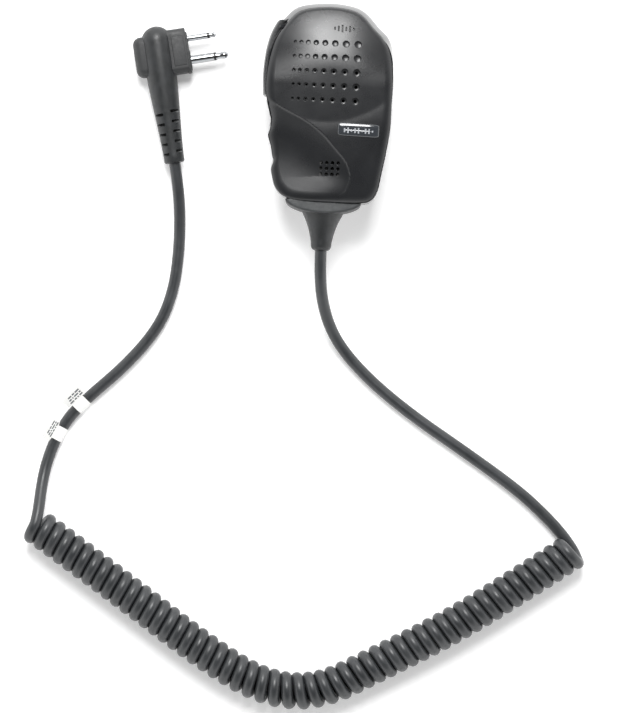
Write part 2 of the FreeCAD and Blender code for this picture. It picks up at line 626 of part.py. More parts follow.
def clip():
    """The swivelling spring clip: base, lever, hinge pin, spring, swivel screw and its insert."""
    rounded_end = cylinder("clip_pin_radius + 1.3", "1.6", "-9.6", "swivel_y", "clip_pin_z", ALONG_X)
    rounded_far = cylinder("clip_pin_radius + 1.3", "1.6", "8", "swivel_y", "clip_pin_z", ALONG_X)
    plate = box("-clip_half", "swivel_y - jaw_reach", "clip_base_z",
                "2 * clip_half", "jaw_reach + base_tail", "clip_plate")  # fmt: skip
    ears = [
        box(x, "swivel_y - clip_pin_radius - 1.3", "clip_pin_z",
            "1.6", "2 * clip_pin_radius + 2.6", "clip_base_z - clip_pin_z + 0.2")  # fmt: skip
        for x in ("-9.6", "8")
    ]
    teeth = [
        box("-clip_half + 1", f"swivel_y - jaw_reach + {0.8 + 1.8 * k}", "clip_base_z - 0.5",
            "2 * clip_half - 2", "0.8", "0.7")
        for k in range(3)
    ]  # fmt: skip
    bores = fuse(
        cylinder("clip_pin_radius", "24", "-12", "swivel_y", "clip_pin_z", ALONG_X),
        cylinder("swivel_screw + 0.1", "6", "0", "swivel_y", "clip_base_z - 2"),
    )
    as_node(cut(fuse(plate, rounded_end, rounded_far, *ears, *teeth), bores), "clip_base")

    plate = box("-clip_half", "swivel_y - jaw_reach", "0", "2 * clip_half", "jaw_reach + tab_reach", "clip_plate")
    ears = [
        box(x, "swivel_y - clip_pin_radius - 1.2", "1",
            "1.4", "2 * clip_pin_radius + 2.4", "clip_pin_z - 1")  # fmt: skip
        for x in ("-7.8", "6.4")
    ]
    rounds = [
        cylinder("clip_pin_radius + 1.2", "1.4", x, "swivel_y", "clip_pin_z", ALONG_X)
        for x in ("-7.8", "6.4")
    ]
    jaw = box("-clip_half", "swivel_y - jaw_reach", "1", "2 * clip_half", "6.4", "clip_base_z - 1.9")
    teeth = [
        box("-clip_half + 1", f"swivel_y - jaw_reach + {1.75 + 1.8 * k}", "clip_base_z - 1.4",
            "2 * clip_half - 2", "0.7", "0.8")
        for k in range(2)
    ]  # fmt: skip
    ribs = [
        box("-clip_half + 2", f"swivel_y + tab_reach - {1.6 + 2.0 * k}", "clip_plate - 0.2",
            "2 * clip_half - 4", "0.9", "0.7")
        for k in range(4)
    ]  # fmt: skip
    bore = cylinder("clip_pin_radius + 0.06", "24", "-12", "swivel_y", "clip_pin_z", ALONG_X)
    as_node(cut(fuse(plate, jaw, *ears, *rounds, *teeth, *ribs), bore), "clip_lever")

    as_node(cylinder("clip_pin_radius", "19.2", "-9.6", "swivel_y", "clip_pin_z", ALONG_X), "clip_pin")
    winding = cylinder("clip_pin_radius + 0.9", "2", "4.1", "swivel_y", "clip_pin_z", ALONG_X)
    hole = cylinder("clip_pin_radius", "4", "3", "swivel_y", "clip_pin_z", ALONG_X)
    middle = dim("swivel_y")
    legs = [shaped(bar(0.35, (x, middle, z0), (x, middle + 6, z1)), "Leg") for x, z0, z1 in (
        (4.5, dim("clip_pin_z") + 1.5, dim("clip_base_z") - 0.4),
        (5.7, dim("clip_pin_z") - 1.5, dim("clip_pin_z") - 0.4),
    )]
    as_node(cut(fuse(winding, *legs), hole), "clip_spring")

    head = cylinder("3.4", "1.4", "0", "swivel_y", "clip_base_z - 1.5")
    shank = cylinder("swivel_screw", "14.4 - clip_base_z + 0.1", "0", "swivel_y", "clip_base_z - 0.1")
    slot = box("-3.6", "swivel_y - 0.4", "clip_base_z - 1.7", "7.2", "0.8", "0.8")
    as_node(cut(fuse(head, shank), slot), "swivel_screw")
    ring = cylinder("3.2", "14.6 - boss_z - 0.2", "0", "swivel_y", "boss_z + 0.2")
    as_node(cut(ring, cylinder("swivel_screw + 0.05", "8", "0", "swivel_y", "8")), "swivel_insert")


# ---- cord ---------------------------------------------------------------------------------------


def bend(before, corner, after):
    """The arc that rounds a corner of a route: its start, middle, end and radius."""
    back, ahead = before - corner, after - corner
    reach = 0.45 * min(back.Length, ahead.Length)
    radius = reach / math.tan((math.pi - back.getAngle(ahead)) / 2)
    enter = corner + back.normalize() * reach
    leave = corner + ahead.normalize() * reach
    middle = corner + (back + ahead).normalize() * (math.hypot(radius, reach) - radius)
    return enter, middle, leave, radius


def bend_middle(points, index):
    """The middle of the arc at a route's corner, and the cord's heading there."""
    enter, middle, leave, _ = bend(*(Vector(*p) for p in points[index - 1 : index + 2]))
    return middle, (leave - enter).normalize()


def rounded_route(points):
    """Straight runs joined by tangent arcs, each as large as its two runs allow."""
    points = [Vector(*p) for p in points]
    edges, radii = [], []
    start = points[0]
    for before, corner, after in zip(points, points[1:], points[2:]):
        enter, middle, leave, radius = bend(before, corner, after)
        edges.append(Part.LineSegment(start, enter).toShape())
        edges.append(Part.Arc(enter, middle, leave).toShape())
        radii.append(radius)
        start = leave
    edges.append(Part.LineSegment(start, points[-1]).toShape())
    return Part.Wire(edges), radii


def tube(points, diameter, name):
    """A round cord laid along a route."""
    path, radii = rounded_route(points)
    start, ahead = Vector(*points[0]), Vector(*points[1]) - Vector(*points[0])
    section = Part.Wire([Part.makeCircle(diameter / 2, start, ahead)])
    solid = path.makePipeShell([section], True, False)
    expected = math.pi * diameter**2 / 4 * path.Length
    print(
        f"{name}: {path.Length:.1f} mm long, volume {solid.Volume / expected:.4f} of section times length, "
        f"radii {', '.join(f'{r:.0f}' for r in radii)}"
    )
    return as_node(shaped(solid, name), name)


def cords():
    tube(MIC_LEAD, dim("cord_diameter"), "cord_mic_lead")
    tube(COIL_AXIS, dim("coil_diameter"), "cord_coil")
    tube(PLUG_LEAD, dim("cord_diameter"), "cord_plug_lead")


def mic_boot():
    """The strain relief: a lens-shaped collar, a flared neck and a flange inside the casing."""
    x, z, end = dim("boot_x"), dim("boot_z"), dim("boot_end")
    half, depth, thick = dim("collar_half"), dim("collar_depth"), dim("collar_thick")
    wall_y = -dim("half_height")
    left, right = Vector(x - half, wall_y, z - thick / 2), Vector(x + half, wall_y, z - thick / 2)
    lowest = Vector(x, wall_y - depth, z - thick / 2)
    edges = [Part.Arc(left, lowest, right).toShape(), Part.LineSegment(right, left).toShape()]
    face = Part.Face(Part.Wire(edges))
    collar = face.extrude(Vector(0, 0, thick))
    collar = collar.makeFillet(0.8, [e for e in collar.Edges if isinstance(e.Curve, Part.Circle)])
    back = solid_box(x - half + 0.4, wall_y, z - thick / 2, x + half - 0.4, wall_y + 3, z + thick / 2)
    radii = [(wall_y - depth + 1.6, 8.2), (wall_y - depth - 1.6, 6.9), (wall_y - depth - 5.0, 5.5),
             (wall_y - depth - 9.5, 4.3), (end + 1.4, 3.9), (end, 2.9)]  # fmt: skip
    profile = [Vector(x, radii[0][0], z)] + [Vector(x + r, y, z) for y, r in radii] + [Vector(x, end, z)]
    neck = Part.Face(Part.makePolygon(profile + profile[:1])).revolve(Vector(x, 0, z), ALONG_Y, 360)
    inner = bar(4.4, (x, wall_y - 1, z), (x, -36, z)).fuse(bar(5.4, (x, -37.0, z), (x, -35.6, z)))
    casing = casing_form(REAR_RISE, dim("back_z")).fuse(casing_form(FRONT_RISE, dim("front_z")))
    whole = collar.fuse(back).cut(casing).fuse([neck, inner])
    as_node(shaped(whole.removeSplitter(), "MicBoot"), "mic_boot")


def cable_labels():
    """Two folded tags, each a band round the cord with a flat tail."""
    radius = dim("cord_diameter") / 2
    for name, corner, tail_tilt in (("cable_label_upper", 7, 50.0), ("cable_label_lower", 8, 62.0)):
        band = bar(radius + 0.5, (-3.5, 0, 0), (3.5, 0, 0)).cut(bar(radius + 0.2, (-4, 0, 0), (4, 0, 0)))
        tail = Part.makeBox(10.0, 7.0, 0.3, Vector(-5.0, radius + 0.3, -0.15))
        tail.rotate(Vector(), ALONG_X, tail_tilt)
        made = shaped(band.fuse(tail), name)
        middle, heading = bend_middle(PLUG_LEAD, corner)
        made.Placement = Placement(middle, Rotation(ALONG_X, -heading))
        as_node(made, name)


# ---- plug ---------------------------------------------------------------------------------------


def plug_block_form():
    """The hard block through the plug's head: flat face, raised pad and rounded back."""
    low, high, half = dim("block_low"), dim("block_high"), dim("block_half")
    body = solid_box(dim("block_back"), low, -half, dim("block_face"), high, half)
    behind = dim("block_back") + 0.01
    back_edges = [e for e in body.Edges if e.BoundBox.XMax < behind and e.BoundBox.ZLength > 1]
    body = body.makeFillet(3.4, back_edges)
    pad = solid_box(dim("block_face") - 0.5, low + 1.2, -half + 0.9, dim("pad_face"), high - 1.2, half - 0.9)
    upright = [e for e in pad.Edges if e.BoundBox.XLength > 0.5]
    return body.fuse(pad.makeFillet(1.6, upright))


def plug_sleeve_form():
    """The soft sleeve: a round head, a taper and a notched tail."""
    radius, tail, length = dim("plug_radius"), dim("plug_tail"), dim("plug_length")
    centre = length - radius
    slant = radius * math.sqrt(0.5)
    head = Part.Arc(Vector(radius, centre, 0), Vector(slant, centre + slant, 0), Vector(0, length, 0))
    side = Part.BSplineCurve()
    swell = ((tail, 0.6), (4.4, 12), (5.2, 21), (radius - 0.2, 32), (radius, centre))
    side.interpolate([Vector(x, y, 0) for x, y in swell])
    foot = [Vector(0, 0, 0), Vector(tail - 0.6, 0, 0), Vector(tail, 0.6, 0)]
    edges = [Part.LineSegment(a, b).toShape() for a, b in zip(foot, foot[1:])]
    edges += [side.toShape(), head.toShape(), Part.LineSegment(Vector(0, length, 0), Vector()).toShape()]
    solid = Part.Face(Part.Wire(edges)).revolve(Vector(), ALONG_Y, 360)
    notches = []
    for k in range(5):
        y = 5.0 + 4.1 * k
        for sign in (-1, 1):
            inner, outer = sorted((sign * 1.6, sign * 9))
            middle = y + 0.4 * sign
            notches.append(solid_box(inner, middle - 0.55, -9, outer, middle + 0.55, 9))
    core = Part.makeCone(2.9, 4.6, 34, Vector(0, -1, 0), ALONG_Y)
    return solid.cut([notch.cut(core) for notch in notches])


def contact(name, axis_y, radius, length):
    """A contact pin: sleeve, insulating ring and tip, each turned about its own axis."""
    waist = f"{radius} * 0.62"
    start, end = "pad_face - 3", "pad_face"
    ring = f"pad_face + {length} * 0.72"
    sleeve = [("0", start), (waist, start), (waist, end), (radius, end), (radius, ring), ("0", ring)]
    insulator = [("0", ring), (radius, ring), (radius, f"{ring} + 0.7"), ("0", f"{ring} + 0.7")]
    tip = [("0", f"{ring} + 0.7"), (radius, f"{ring} + 0.7"), (radius, f"{ring} + 1.2"), (waist, f"{ring} + 1.7"),
           (radius + " * 0.98", f"{end} + {length} - {radius}"), ("0", f"{end} + {length}")]  # fmt: skip
    for part, corners in (("sleeve", sleeve), ("insulator", insulator), ("tip", tip)):
        flat = [(along, across) for across, along in corners]
        body = turned(flat, "XY_Plane", "H_Axis")
        holder = on_plug(body)
        turn = math.radians(dim("plug_turn"))
        bind(holder, Placement__Base__x=f"plug_x - {axis_y} * {math.sin(turn)}")
        bind(holder, Placement__Base__y=f"plug_y + {axis_y} * {math.cos(turn)}")
        as_node(holder, f"{name}_{part}")


def plug():
    block = plug_block_form()
    sleeve = plug_sleeve_form().cut(block)
    bores = [
        bar(
            dim(f"{size}_pin_radius") * 0.62,
            (dim("pad_face") - 3, dim(f"{size}_pin_y"), 0),
            (dim("pad_face") + 3, dim(f"{size}_pin_y"), 0),
        )
        for size in ("small", "large")
    ]
    on_plug(as_node(shaped(sleeve, "PlugSleeve"), "plug_boot"))
    on_plug(as_node(shaped(block.cut(bores), "PlugBlock"), "plug_block"))
    contact("small_contact", "small_pin_y", "small_pin_radius", "small_pin_length")
    contact("large_contact", "large_pin_y", "large_pin_radius", "large_pin_length")


# ---- build --------------------------------------------------------------------------------------


def check_and_export():
    doc.recompute()
    broken = [o.Label for o in doc.Objects if "Invalid" in o.State or "Error" in o.State]
    if broken:
        raise RuntimeError(f"these objects did not build: {broken}")
    os.makedirs("parts", exist_ok=True)
    for old in os.listdir("parts"):
        os.remove(os.path.join("parts", old))
    for piece in nodes:
        shape = piece.Shape
        if shape.isNull() or not shape.isValid() or not shape.Solids:
            raise RuntimeError(f"{piece.Label} has no valid solid")
        shape.exportStep(os.path.join("parts", piece.Label + ".step"))
        print(f"{piece.Label}: {len(shape.Solids)} solid(s), {shape.Volume:.1f} mm3")


fill_sheet()
front_casing()
rear_casing()
casing_trim()
talk_lever()
talk_switch()
speaker()
voice_pickup()
circuit_board()
inner_wires()
clip()
mic_boot()
cords()
cable_labels()
plug()
check_and_export()
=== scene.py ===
"""Hand microphone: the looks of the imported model, seen from straight above on a white sweep.

Lengths in the lists and functions below are millimetres in the model's own frame (+X right, +Y towards
the top, +Z out of the speaker face). MM turns them into Blender's metres.
"""

import math

import bmesh
import bpy
from mathutils import Matrix, Vector


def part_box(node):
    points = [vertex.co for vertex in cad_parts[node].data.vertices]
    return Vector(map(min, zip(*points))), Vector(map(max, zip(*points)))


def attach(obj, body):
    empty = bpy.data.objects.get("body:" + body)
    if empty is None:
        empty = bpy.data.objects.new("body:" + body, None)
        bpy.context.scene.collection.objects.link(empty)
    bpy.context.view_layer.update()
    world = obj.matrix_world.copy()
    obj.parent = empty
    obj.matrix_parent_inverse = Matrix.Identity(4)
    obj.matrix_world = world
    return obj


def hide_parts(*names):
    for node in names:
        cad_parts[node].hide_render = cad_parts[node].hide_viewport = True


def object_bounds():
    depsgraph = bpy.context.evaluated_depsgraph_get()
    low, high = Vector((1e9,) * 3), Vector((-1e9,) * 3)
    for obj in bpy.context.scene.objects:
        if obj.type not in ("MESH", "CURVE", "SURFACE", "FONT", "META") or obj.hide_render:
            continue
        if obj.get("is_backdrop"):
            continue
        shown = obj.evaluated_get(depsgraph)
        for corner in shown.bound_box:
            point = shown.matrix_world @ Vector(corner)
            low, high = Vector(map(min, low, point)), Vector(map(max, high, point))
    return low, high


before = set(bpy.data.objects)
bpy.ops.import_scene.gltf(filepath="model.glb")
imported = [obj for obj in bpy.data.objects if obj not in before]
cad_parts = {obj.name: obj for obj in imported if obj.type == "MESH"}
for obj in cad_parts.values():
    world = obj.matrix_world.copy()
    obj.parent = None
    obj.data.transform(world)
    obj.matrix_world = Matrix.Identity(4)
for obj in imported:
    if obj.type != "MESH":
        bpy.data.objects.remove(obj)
cad_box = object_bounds()

MM = 0.001


def node_box(name):
    """A CAD node's lowest and highest corners in millimetres."""
    return tuple(corner / MM for corner in map(Vector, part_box(name)))


# ---- camera -------------------------------------------------------------------------------------


def make_camera():
    """Straight above, far enough off that the microphone's sides hardly show."""
    data = bpy.data.cameras.new("camera")
    data.lens = 134.4
    data.dof.use_dof = False
    camera = bpy.data.objects.new("camera", data)
    camera.location = Vector((1.24, -102.5, 1100)) * MM
    camera.rotation_euler = (0, 0, math.radians(3))
    bpy.context.collection.objects.link(camera)
    bpy.context.scene.camera = camera


# ---- materials ----------------------------------------------------------------------------------


def hex_colour(text):
    """A linear RGBA colour from an sRGB one such as '1a1b1c'."""
    channels = [int(text[i : i + 2], 16) / 255 for i in (0, 2, 4)]
    linear = [c / 12.92 if c <= 0.04045 else ((c + 0.055) / 1.055) ** 2.4 for c in channels]
    return (*linear, 1.0)


def add_node(tree, kind, **settings):
    """A shader node, with its properties set by name and its inputs by their socket names."""
    node = tree.nodes.new(kind)
    for name, value in settings.pop("inputs", {}).items():
        node.inputs[name].default_value = value
    for name, value in settings.items():
        setattr(node, name, value)
    return node


def material(name, colour, **sockets):
    """A principled material with uniform values set straight on the shader."""
    made = bpy.data.materials.new(name)
    made.use_nodes = True
    shader = made.node_tree.nodes["Principled BSDF"]
    shader.inputs["Base Color"].default_value = hex_colour(colour)
    for socket, value in sockets.items():
        shader.inputs[socket.replace("_", " ")].default_value = value
    made.diffuse_color = hex_colour(colour)
    return made, made.node_tree, shader


def texture_place(tree):
    """Object coordinates, which are metres in the model's frame."""
    return add_node(tree, "ShaderNodeTexCoord").outputs["Object"]


def grain(tree, size, detail=2.0, roughness=0.5):
    """Noise whose features are about size millimetres across."""
    settings = {"Scale": 1 / (size * MM), "Detail": detail, "Roughness": roughness}
    noise = add_node(tree, "ShaderNodeTexNoise", inputs=settings)
    tree.links.new(texture_place(tree), noise.inputs["Vector"])
    return noise.outputs["Fac"]


def vary(tree, fac, socket, low, high, start=0.35, end=0.65):
    """Sends noise to a socket as a value between low and high."""
    span = add_node(
        tree, "ShaderNodeMapRange", inputs={"From Min": start, "From Max": end, "To Min": low, "To Max": high}
    )
    tree.links.new(fac, span.inputs["Value"])
    tree.links.new(span.outputs["Result"], socket)


def tint(tree, fac, socket, low, high, start=0.35, end=0.65):
    """Sends noise to a colour socket as a blend of two sRGB colours."""
    ramp = add_node(tree, "ShaderNodeValToRGB")
    ramp.color_ramp.elements[0].position, ramp.color_ramp.elements[1].position = start, end
    for end, colour in zip(ramp.color_ramp.elements, (low, high)):
        end.color = hex_colour(colour)
    tree.links.new(fac, ramp.inputs["Fac"])
    tree.links.new(ramp.outputs["Color"], socket)


def bumps(tree, shader, fac, depth, strength=1.0):
    """Raises the surface by depth millimetres where the noise is high."""
    bump = add_node(tree, "ShaderNodeBump", inputs={"Strength": strength, "Distance": depth * MM})
    tree.links.new(fac, bump.inputs["Height"])
    tree.links.new(bump.outputs["Normal"], shader.inputs["Normal"])


def casing_abs():
    """Black ABS moulded in a finely sparked tool: deep black with a soft, even sheen."""
    made, tree, shader = material("black_abs_satin_moulded", "18191b", IOR=1.5)
    tint(tree, grain(tree, 14.0, 3.0), shader.inputs["Base Color"], "161719", "1b1c1e")
    vary(tree, grain(tree, 9.0), shader.inputs["Roughness"], 0.26, 0.31)
    bumps(tree, shader, grain(tree, 0.22, 1.0), 0.008)
    return made


def casing_side_abs():
    """The same ABS from the tool's polished sides: glossier, so the rim mirrors what is beside it."""
    made, tree, shader = material("black_abs_polished_side", "151618", IOR=1.52)
    vary(tree, grain(tree, 7.0), shader.inputs["Roughness"], 0.06, 0.11)
    bumps(tree, shader, grain(tree, 2.5, 2.0), 0.006)
    return made


def lever_abs():
    """Black ABS with a coarser spark texture: the talk lever looks drier than the casing."""
    made, tree, shader = material("black_abs_textured_lever", "1b1c1e", IOR=1.5)
    vary(tree, grain(tree, 5.0), shader.inputs["Roughness"], 0.22, 0.3)
    bumps(tree, shader, grain(tree, 0.3, 1.0), 0.02)
    return made


def clip_nylon():
    """Glass-filled nylon for the clip: grey-black, with faint flow marks."""
    made, tree, shader = material("black_nylon_moulded_clip", "202124", IOR=1.53)
    tint(tree, grain(tree, 6.0, 4.0), shader.inputs["Base Color"], "1c1d1f", "27282b")
    vary(tree, grain(tree, 2.0), shader.inputs["Roughness"], 0.42, 0.55)
    bumps(tree, shader, grain(tree, 0.4, 2.0), 0.02)
    return made


def boot_elastomer():
    """Overmoulded elastomer of the strain reliefs: soft, slightly dusty black."""
    made, tree, shader = material("black_elastomer_overmoulded", "1a1c1e", IOR=1.5)
    tint(tree, grain(tree, 4.0, 5.0), shader.inputs["Base Color"], "17191a", "202224")
    vary(tree, grain(tree, 1.5), shader.inputs["Roughness"], 0.4, 0.52)
    bumps(tree, shader, grain(tree, 0.35, 2.0), 0.015)
    return made


def collar_face_painted_lighter():
    """The boot's collar face, sparked coarser than its neck so it scatters light; its lighter charcoal colour
    is painted light, as if the face caught the lamp.
    """
    made, tree, shader = material("charcoal_elastomer_face_painted_lighter", "2c2e30", IOR=1.5)
    tint(tree, grain(tree, 3.0, 4.0), shader.inputs["Base Color"], "292b2d", "323435")
    vary(tree, grain(tree, 1.0), shader.inputs["Roughness"], 0.5, 0.62)
    bumps(tree, shader, grain(tree, 0.3, 2.0), 0.03)
    return made


def cord_vinyl():
    """Extruded polyurethane jacket: smooth, with a waxy highlight down each turn."""
    made, tree, shader = material("black_polyurethane_cord_extruded", "2b2d2f", IOR=1.5)
    tint(tree, grain(tree, 12.0, 3.0), shader.inputs["Base Color"], "282a2c", "313335")
    vary(tree, grain(tree, 3.0, 3.0), shader.inputs["Roughness"], 0.33, 0.43)
    bumps(tree, shader, grain(tree, 0.5, 2.0), 0.012)
    return made


def block_abs():
    """Sparked black ABS of the plug's hard block: a dry, grainy grey-black."""
    made, tree, shader = material("black_abs_sparked_block", "272829", IOR=1.5)
    vary(tree, grain(tree, 1.2, 3.0), shader.inputs["Roughness"], 0.45, 0.6)
    bumps(tree, shader, grain(tree, 0.25, 3.0), 0.04)
    return made


def badge_resin():
    """Poured clear resin over a dark print: a wet-looking plate with a hard highlight."""
    made, _, _ = material(
        "doming_resin_poured_badge", "2c2f33", Roughness=0.12, IOR=1.5, Coat_Weight=1.0, Coat_Roughness=0.03
    )
    return made


def plated_contact():
    """Nickel-plated brass of the contacts: bright, with faint turning marks."""
    made, tree, shader = material("nickel_plated_brass_contact", "9b9d9f", Metallic=1.0)
    vary(tree, grain(tree, 0.6, 2.0), shader.inputs["Roughness"], 0.1, 0.17)
    return made


def steel(name, colour, low, high):
    """Plated steel of screws, pins and springs."""
    made, tree, shader = material(name, colour, Metallic=1.0)
    vary(tree, grain(tree, 0.5, 2.0), shader.inputs["Roughness"], low, high)
    return made


def label_film():
    """White polyester film of the cable tags: matte, very slightly uneven."""
    made, tree, shader = material("white_polyester_film_cut", "e8e8e6", IOR=1.5)
    tint(tree, grain(tree, 5.0, 3.0), shader.inputs["Base Color"], "e2e2e0", "ecece9")
    vary(tree, grain(tree, 2.0), shader.inputs["Roughness"], 0.45, 0.6)
    return made


def board_laminate():
    """Green solder mask over glass-epoxy laminate: a gloss skin with a faint weave under it."""
    made, tree, shader = material("green_solder_mask_laminate", "1d5a33", Roughness=0.3, IOR=1.5)
    tint(tree, grain(tree, 0.8, 2.0), shader.inputs["Base Color"], "195230", "236a3d")
    return made


def mesh_cloth():
    """Black acoustic cloth behind the grille: woven, with no shine."""
    made, tree, shader = material("black_acoustic_cloth_woven", "141414", Roughness=0.95)
    weave = add_node(tree, "ShaderNodeTexVoronoi", inputs={"Scale": 1 / (0.35 * MM)})
    tree.links.new(texture_place(tree), weave.inputs["Vector"])
    bumps(tree, shader, weave.outputs["Distance"], 0.1)
    return made


def plain(name, colour, roughness, **sockets):
    """A small part's material with one value for each property."""
    return material(name, colour, Roughness=roughness, **sockets)[0]


def floor_card():
    """White opal acrylic table, matt and lit a little from below, so shadows on it are pale."""
    made, tree, shader = material("white_opal_acrylic_matt", "fafafa", Roughness=0.9)
    shader.inputs["Specular IOR Level"].default_value = 0.1
    shader.inputs["Emission Color"].default_value = hex_colour("ffffff")
    shader.inputs["Emission Strength"].default_value = 0.14
    return made


MATERIALS = {
    "casing": casing_abs(),
    "side": casing_side_abs(),
    "lever": lever_abs(),
    "clip": clip_nylon(),
    "boot": boot_elastomer(),
    "collar": collar_face_painted_lighter(),
    "cord": cord_vinyl(),
    "block": block_abs(),
    "badge": badge_resin(),
    "contact": plated_contact(),
    "steel": steel("zinc_plated_steel_turned", "9c9ea0", 0.25, 0.4),
    "black_screw": steel("blackened_steel_screw", "3b3c3e", 0.3, 0.45),
    "dark_steel": steel("black_oxide_steel_pin", "1c1d1f", 0.4, 0.5),
    "magnet": steel("zinc_plated_iron_magnet", "6e7072", 0.3, 0.42),
    "label": label_film(),
    "board": board_laminate(),
    "cloth": mesh_cloth(),
    "card": floor_card(),
    "insulator": plain("black_acetal_insulator_ring", "101010", 0.4),
    "print": plain("silver_ink_screen_print", "8f9296", 0.4, Metallic=0.3),
    "grey_print": plain("grey_thermal_print", "5d6064", 0.7),
    "seal": plain("black_silicone_seal_moulded", "161616", 0.6),
    "copper": plain("enamelled_copper_winding", "a5552b", 0.35, Metallic=1.0),
    "cone": plain("black_mylar_cone_formed", "1b1a19", 0.5),
    "capsule": plain("aluminium_capsule_drawn", "b4b6b8", 0.35, Metallic=1.0),
    "chips": plain("black_epoxy_package_moulded", "191a1b", 0.5),
    "wire": plain("red_vinyl_wire_extruded", "a52a22", 0.45),
    "brass": plain("brass_insert_knurled", "b8924a", 0.3, Metallic=1.0),
    "plunger": plain("ivory_acetal_plunger", "d9d4c6", 0.4),
}

# The CAD nodes that show as they are, with the material each one wears.
CAD_FINISHES = {
    "housing_seal": "seal",
    "housing_screws": "black_screw",
    "switch_body": "chips",
    "switch_plunger": "plunger",
    "speaker_frame": "steel",
    "speaker_magnet": "magnet",
    "voice_coil": "copper",
    "speaker_cone": "cone",
    "speaker_mesh": "cloth",
    "mic_grommet": "seal",
    "mic_capsule": "capsule",
    "circuit_board": "board",
    "board_components": "chips",
    "board_screws": "steel",
    "inner_wires": "wire",
    "clip_base": "clip",
    "clip_lever": "clip",
    "clip_pin": "steel",
    "clip_spring": "steel",
    "swivel_screw": "black_screw",
    "swivel_insert": "brass",
}


def finish_cad_nodes():
    """Dresses the CAD nodes that stay, and breaks the clip's sharp edges."""
    for node, finish in CAD_FINISHES.items():
        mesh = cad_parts[node].data
        mesh.materials.clear()
        mesh.materials.append(MATERIALS[finish])
    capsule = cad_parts["mic_capsule"].data
    capsule.materials.append(MATERIALS["cloth"])  # the felt over its sound opening
    for face in capsule.polygons:
        face.material_index = int(face.normal.z > 0.9)
    for node in ("clip_base", "clip_lever"):
        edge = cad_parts[node].modifiers.new("broken_edges", "BEVEL")
        edge.width = 0.25 * MM
        edge.segments = 2
        edge.limit_method = "ANGLE"
        edge.angle_limit = math.radians(50)


# ---- mesh helpers -------------------------------------------------------------------------------


def spot(x, y, z):
    return Vector((x, y, z)) * MM


def make_piece(name, shape, finish, sharp=35.0):
    """Turns a bmesh into an object, with normals outward and edges sharper than an angle kept."""
    bmesh.ops.recalc_face_normals(shape, faces=shape.faces)
    mesh = bpy.data.meshes.new(name)
    shape.to_mesh(mesh)
    shape.free()
    mesh.materials.append(MATERIALS[finish])
    piece = bpy.data.objects.new(name, mesh)
    bpy.context.collection.objects.link(piece)
    shade(piece, sharp)
    return piece


def shade(piece, sharp=35.0):
    """Smooth shading, with edges sharper than an angle left crisp."""
    piece.data.shade_smooth()
    piece.data.set_sharp_from_angle(angle=math.radians(sharp))


def skin(shape, rings, closed_ends=True):
    """Quads between successive rings of points, with a fan of triangles over each end."""
    loops = [[shape.verts.new(p) for p in ring] for ring in rings]
    count = len(rings[0])
    for a, b in zip(loops, loops[1:]):
        for i in range(count):
            shape.faces.new((a[i], a[(i + 1) % count], b[(i + 1) % count], b[i]))
    if closed_ends:
        for loop in (loops[0], loops[-1]):
            pole = shape.verts.new(sum((v.co for v in loop), Vector()) / count)
            for i in range(count):
                shape.faces.new((loop[i], loop[(i + 1) % count], pole))


def turned(shape, profile, place=Matrix(), count=48):
    """A closed body of revolution about the local Z axis from (radius, height) pairs in millimetres."""
    rings = []
    for radius, height in profile:
        turn = [2 * math.pi * i / count for i in range(count)]
        rings.append([place @ spot(radius * math.cos(a), radius * math.sin(a), height) for a in turn])
    skin(shape, rings)


def rounded_block(shape, low, high, radius, segments=3, place=Matrix()):
    """A box between two corners with every edge rounded."""
    size, centre = Vector(high) - Vector(low), (Vector(low) + Vector(high)) / 2
    made = bmesh.ops.create_cube(shape, size=1.0)
    for vert in made["verts"]:
        vert.co = Vector(a * b for a, b in zip(vert.co, size)) + centre
        vert.co *= MM
    edges = list({edge for vert in made["verts"] for edge in vert.link_edges})
    found = bmesh.ops.bevel(
        shape, geom=edges, offset=radius * MM, offset_type="OFFSET", affect="EDGES",
        segments=segments, profile=0.5,
        material=-1,
    )  # fmt: skip
    verts = {vert for face in found["faces"] for vert in face.verts} | {v for v in made["verts"] if v.is_valid}
    linked = {other for vert in verts for face in vert.link_faces for other in face.verts}
    bmesh.ops.transform(shape, matrix=place, verts=list(verts | linked))


def carve(piece, tool, operation="DIFFERENCE"):
    """Cuts or joins a tool object into a piece for good, and takes the tool away."""
    step = piece.modifiers.new("carve", "BOOLEAN")
    step.operation, step.object, step.solver = operation, tool, "EXACT"
    graph = bpy.context.evaluated_depsgraph_get()
    made = bpy.data.meshes.new_from_object(piece.evaluated_get(graph))
    piece.modifiers.clear()
    old, piece.data = piece.data, made
    made.name = piece.name
    bpy.data.meshes.remove(old)
    bpy.data.objects.remove(tool)


def tool_from(shape):
    """A cutting tool from a bmesh. It never shows: carve removes it."""
    return make_piece("tool", shape, "casing")


# ---- casing -------------------------------------------------------------------------------------

CASING = [
    (-2.5, 40.6), (7.5, 40.0), (13.6, 37.6), (19.2, 32.0), (23.6, 27.6), (25.8, 21.5), (26.5, 13.0),
    (26.5, 3.0), (26.2, -8.0), (25.0, -18.5), (23.4, -28.5), (22.2, -35.0), (19.8, -39.0),
    (15.0, -40.4), (3.0, -40.6), (-9.0, -40.4), (-15.4, -39.2), (-19.2, -35.8), (-20.9, -31.0),
    (-21.5, -27.3), (-21.2, -23.5), (-21.9, -19.2), (-23.3, -14.6), (-23.1, -10.2), (-23.0, -6.4),
    (-24.2, -1.8), (-25.2, 4.5), (-25.4, 12.0), (-24.7, 20.0), (-22.8, 27.2), (-19.2, 33.4),
    (-13.4, 38.6),
]  # fmt: skip
HALF_WIDTH, HALF_HEIGHT = 26.6, 40.6
ROUND = 256  # points round the casing
JOINT_Z = node_box("rear_housing")[1].z
BACK_Z = 10.5
FRONT_Z = 36.0
WALL = 1.8

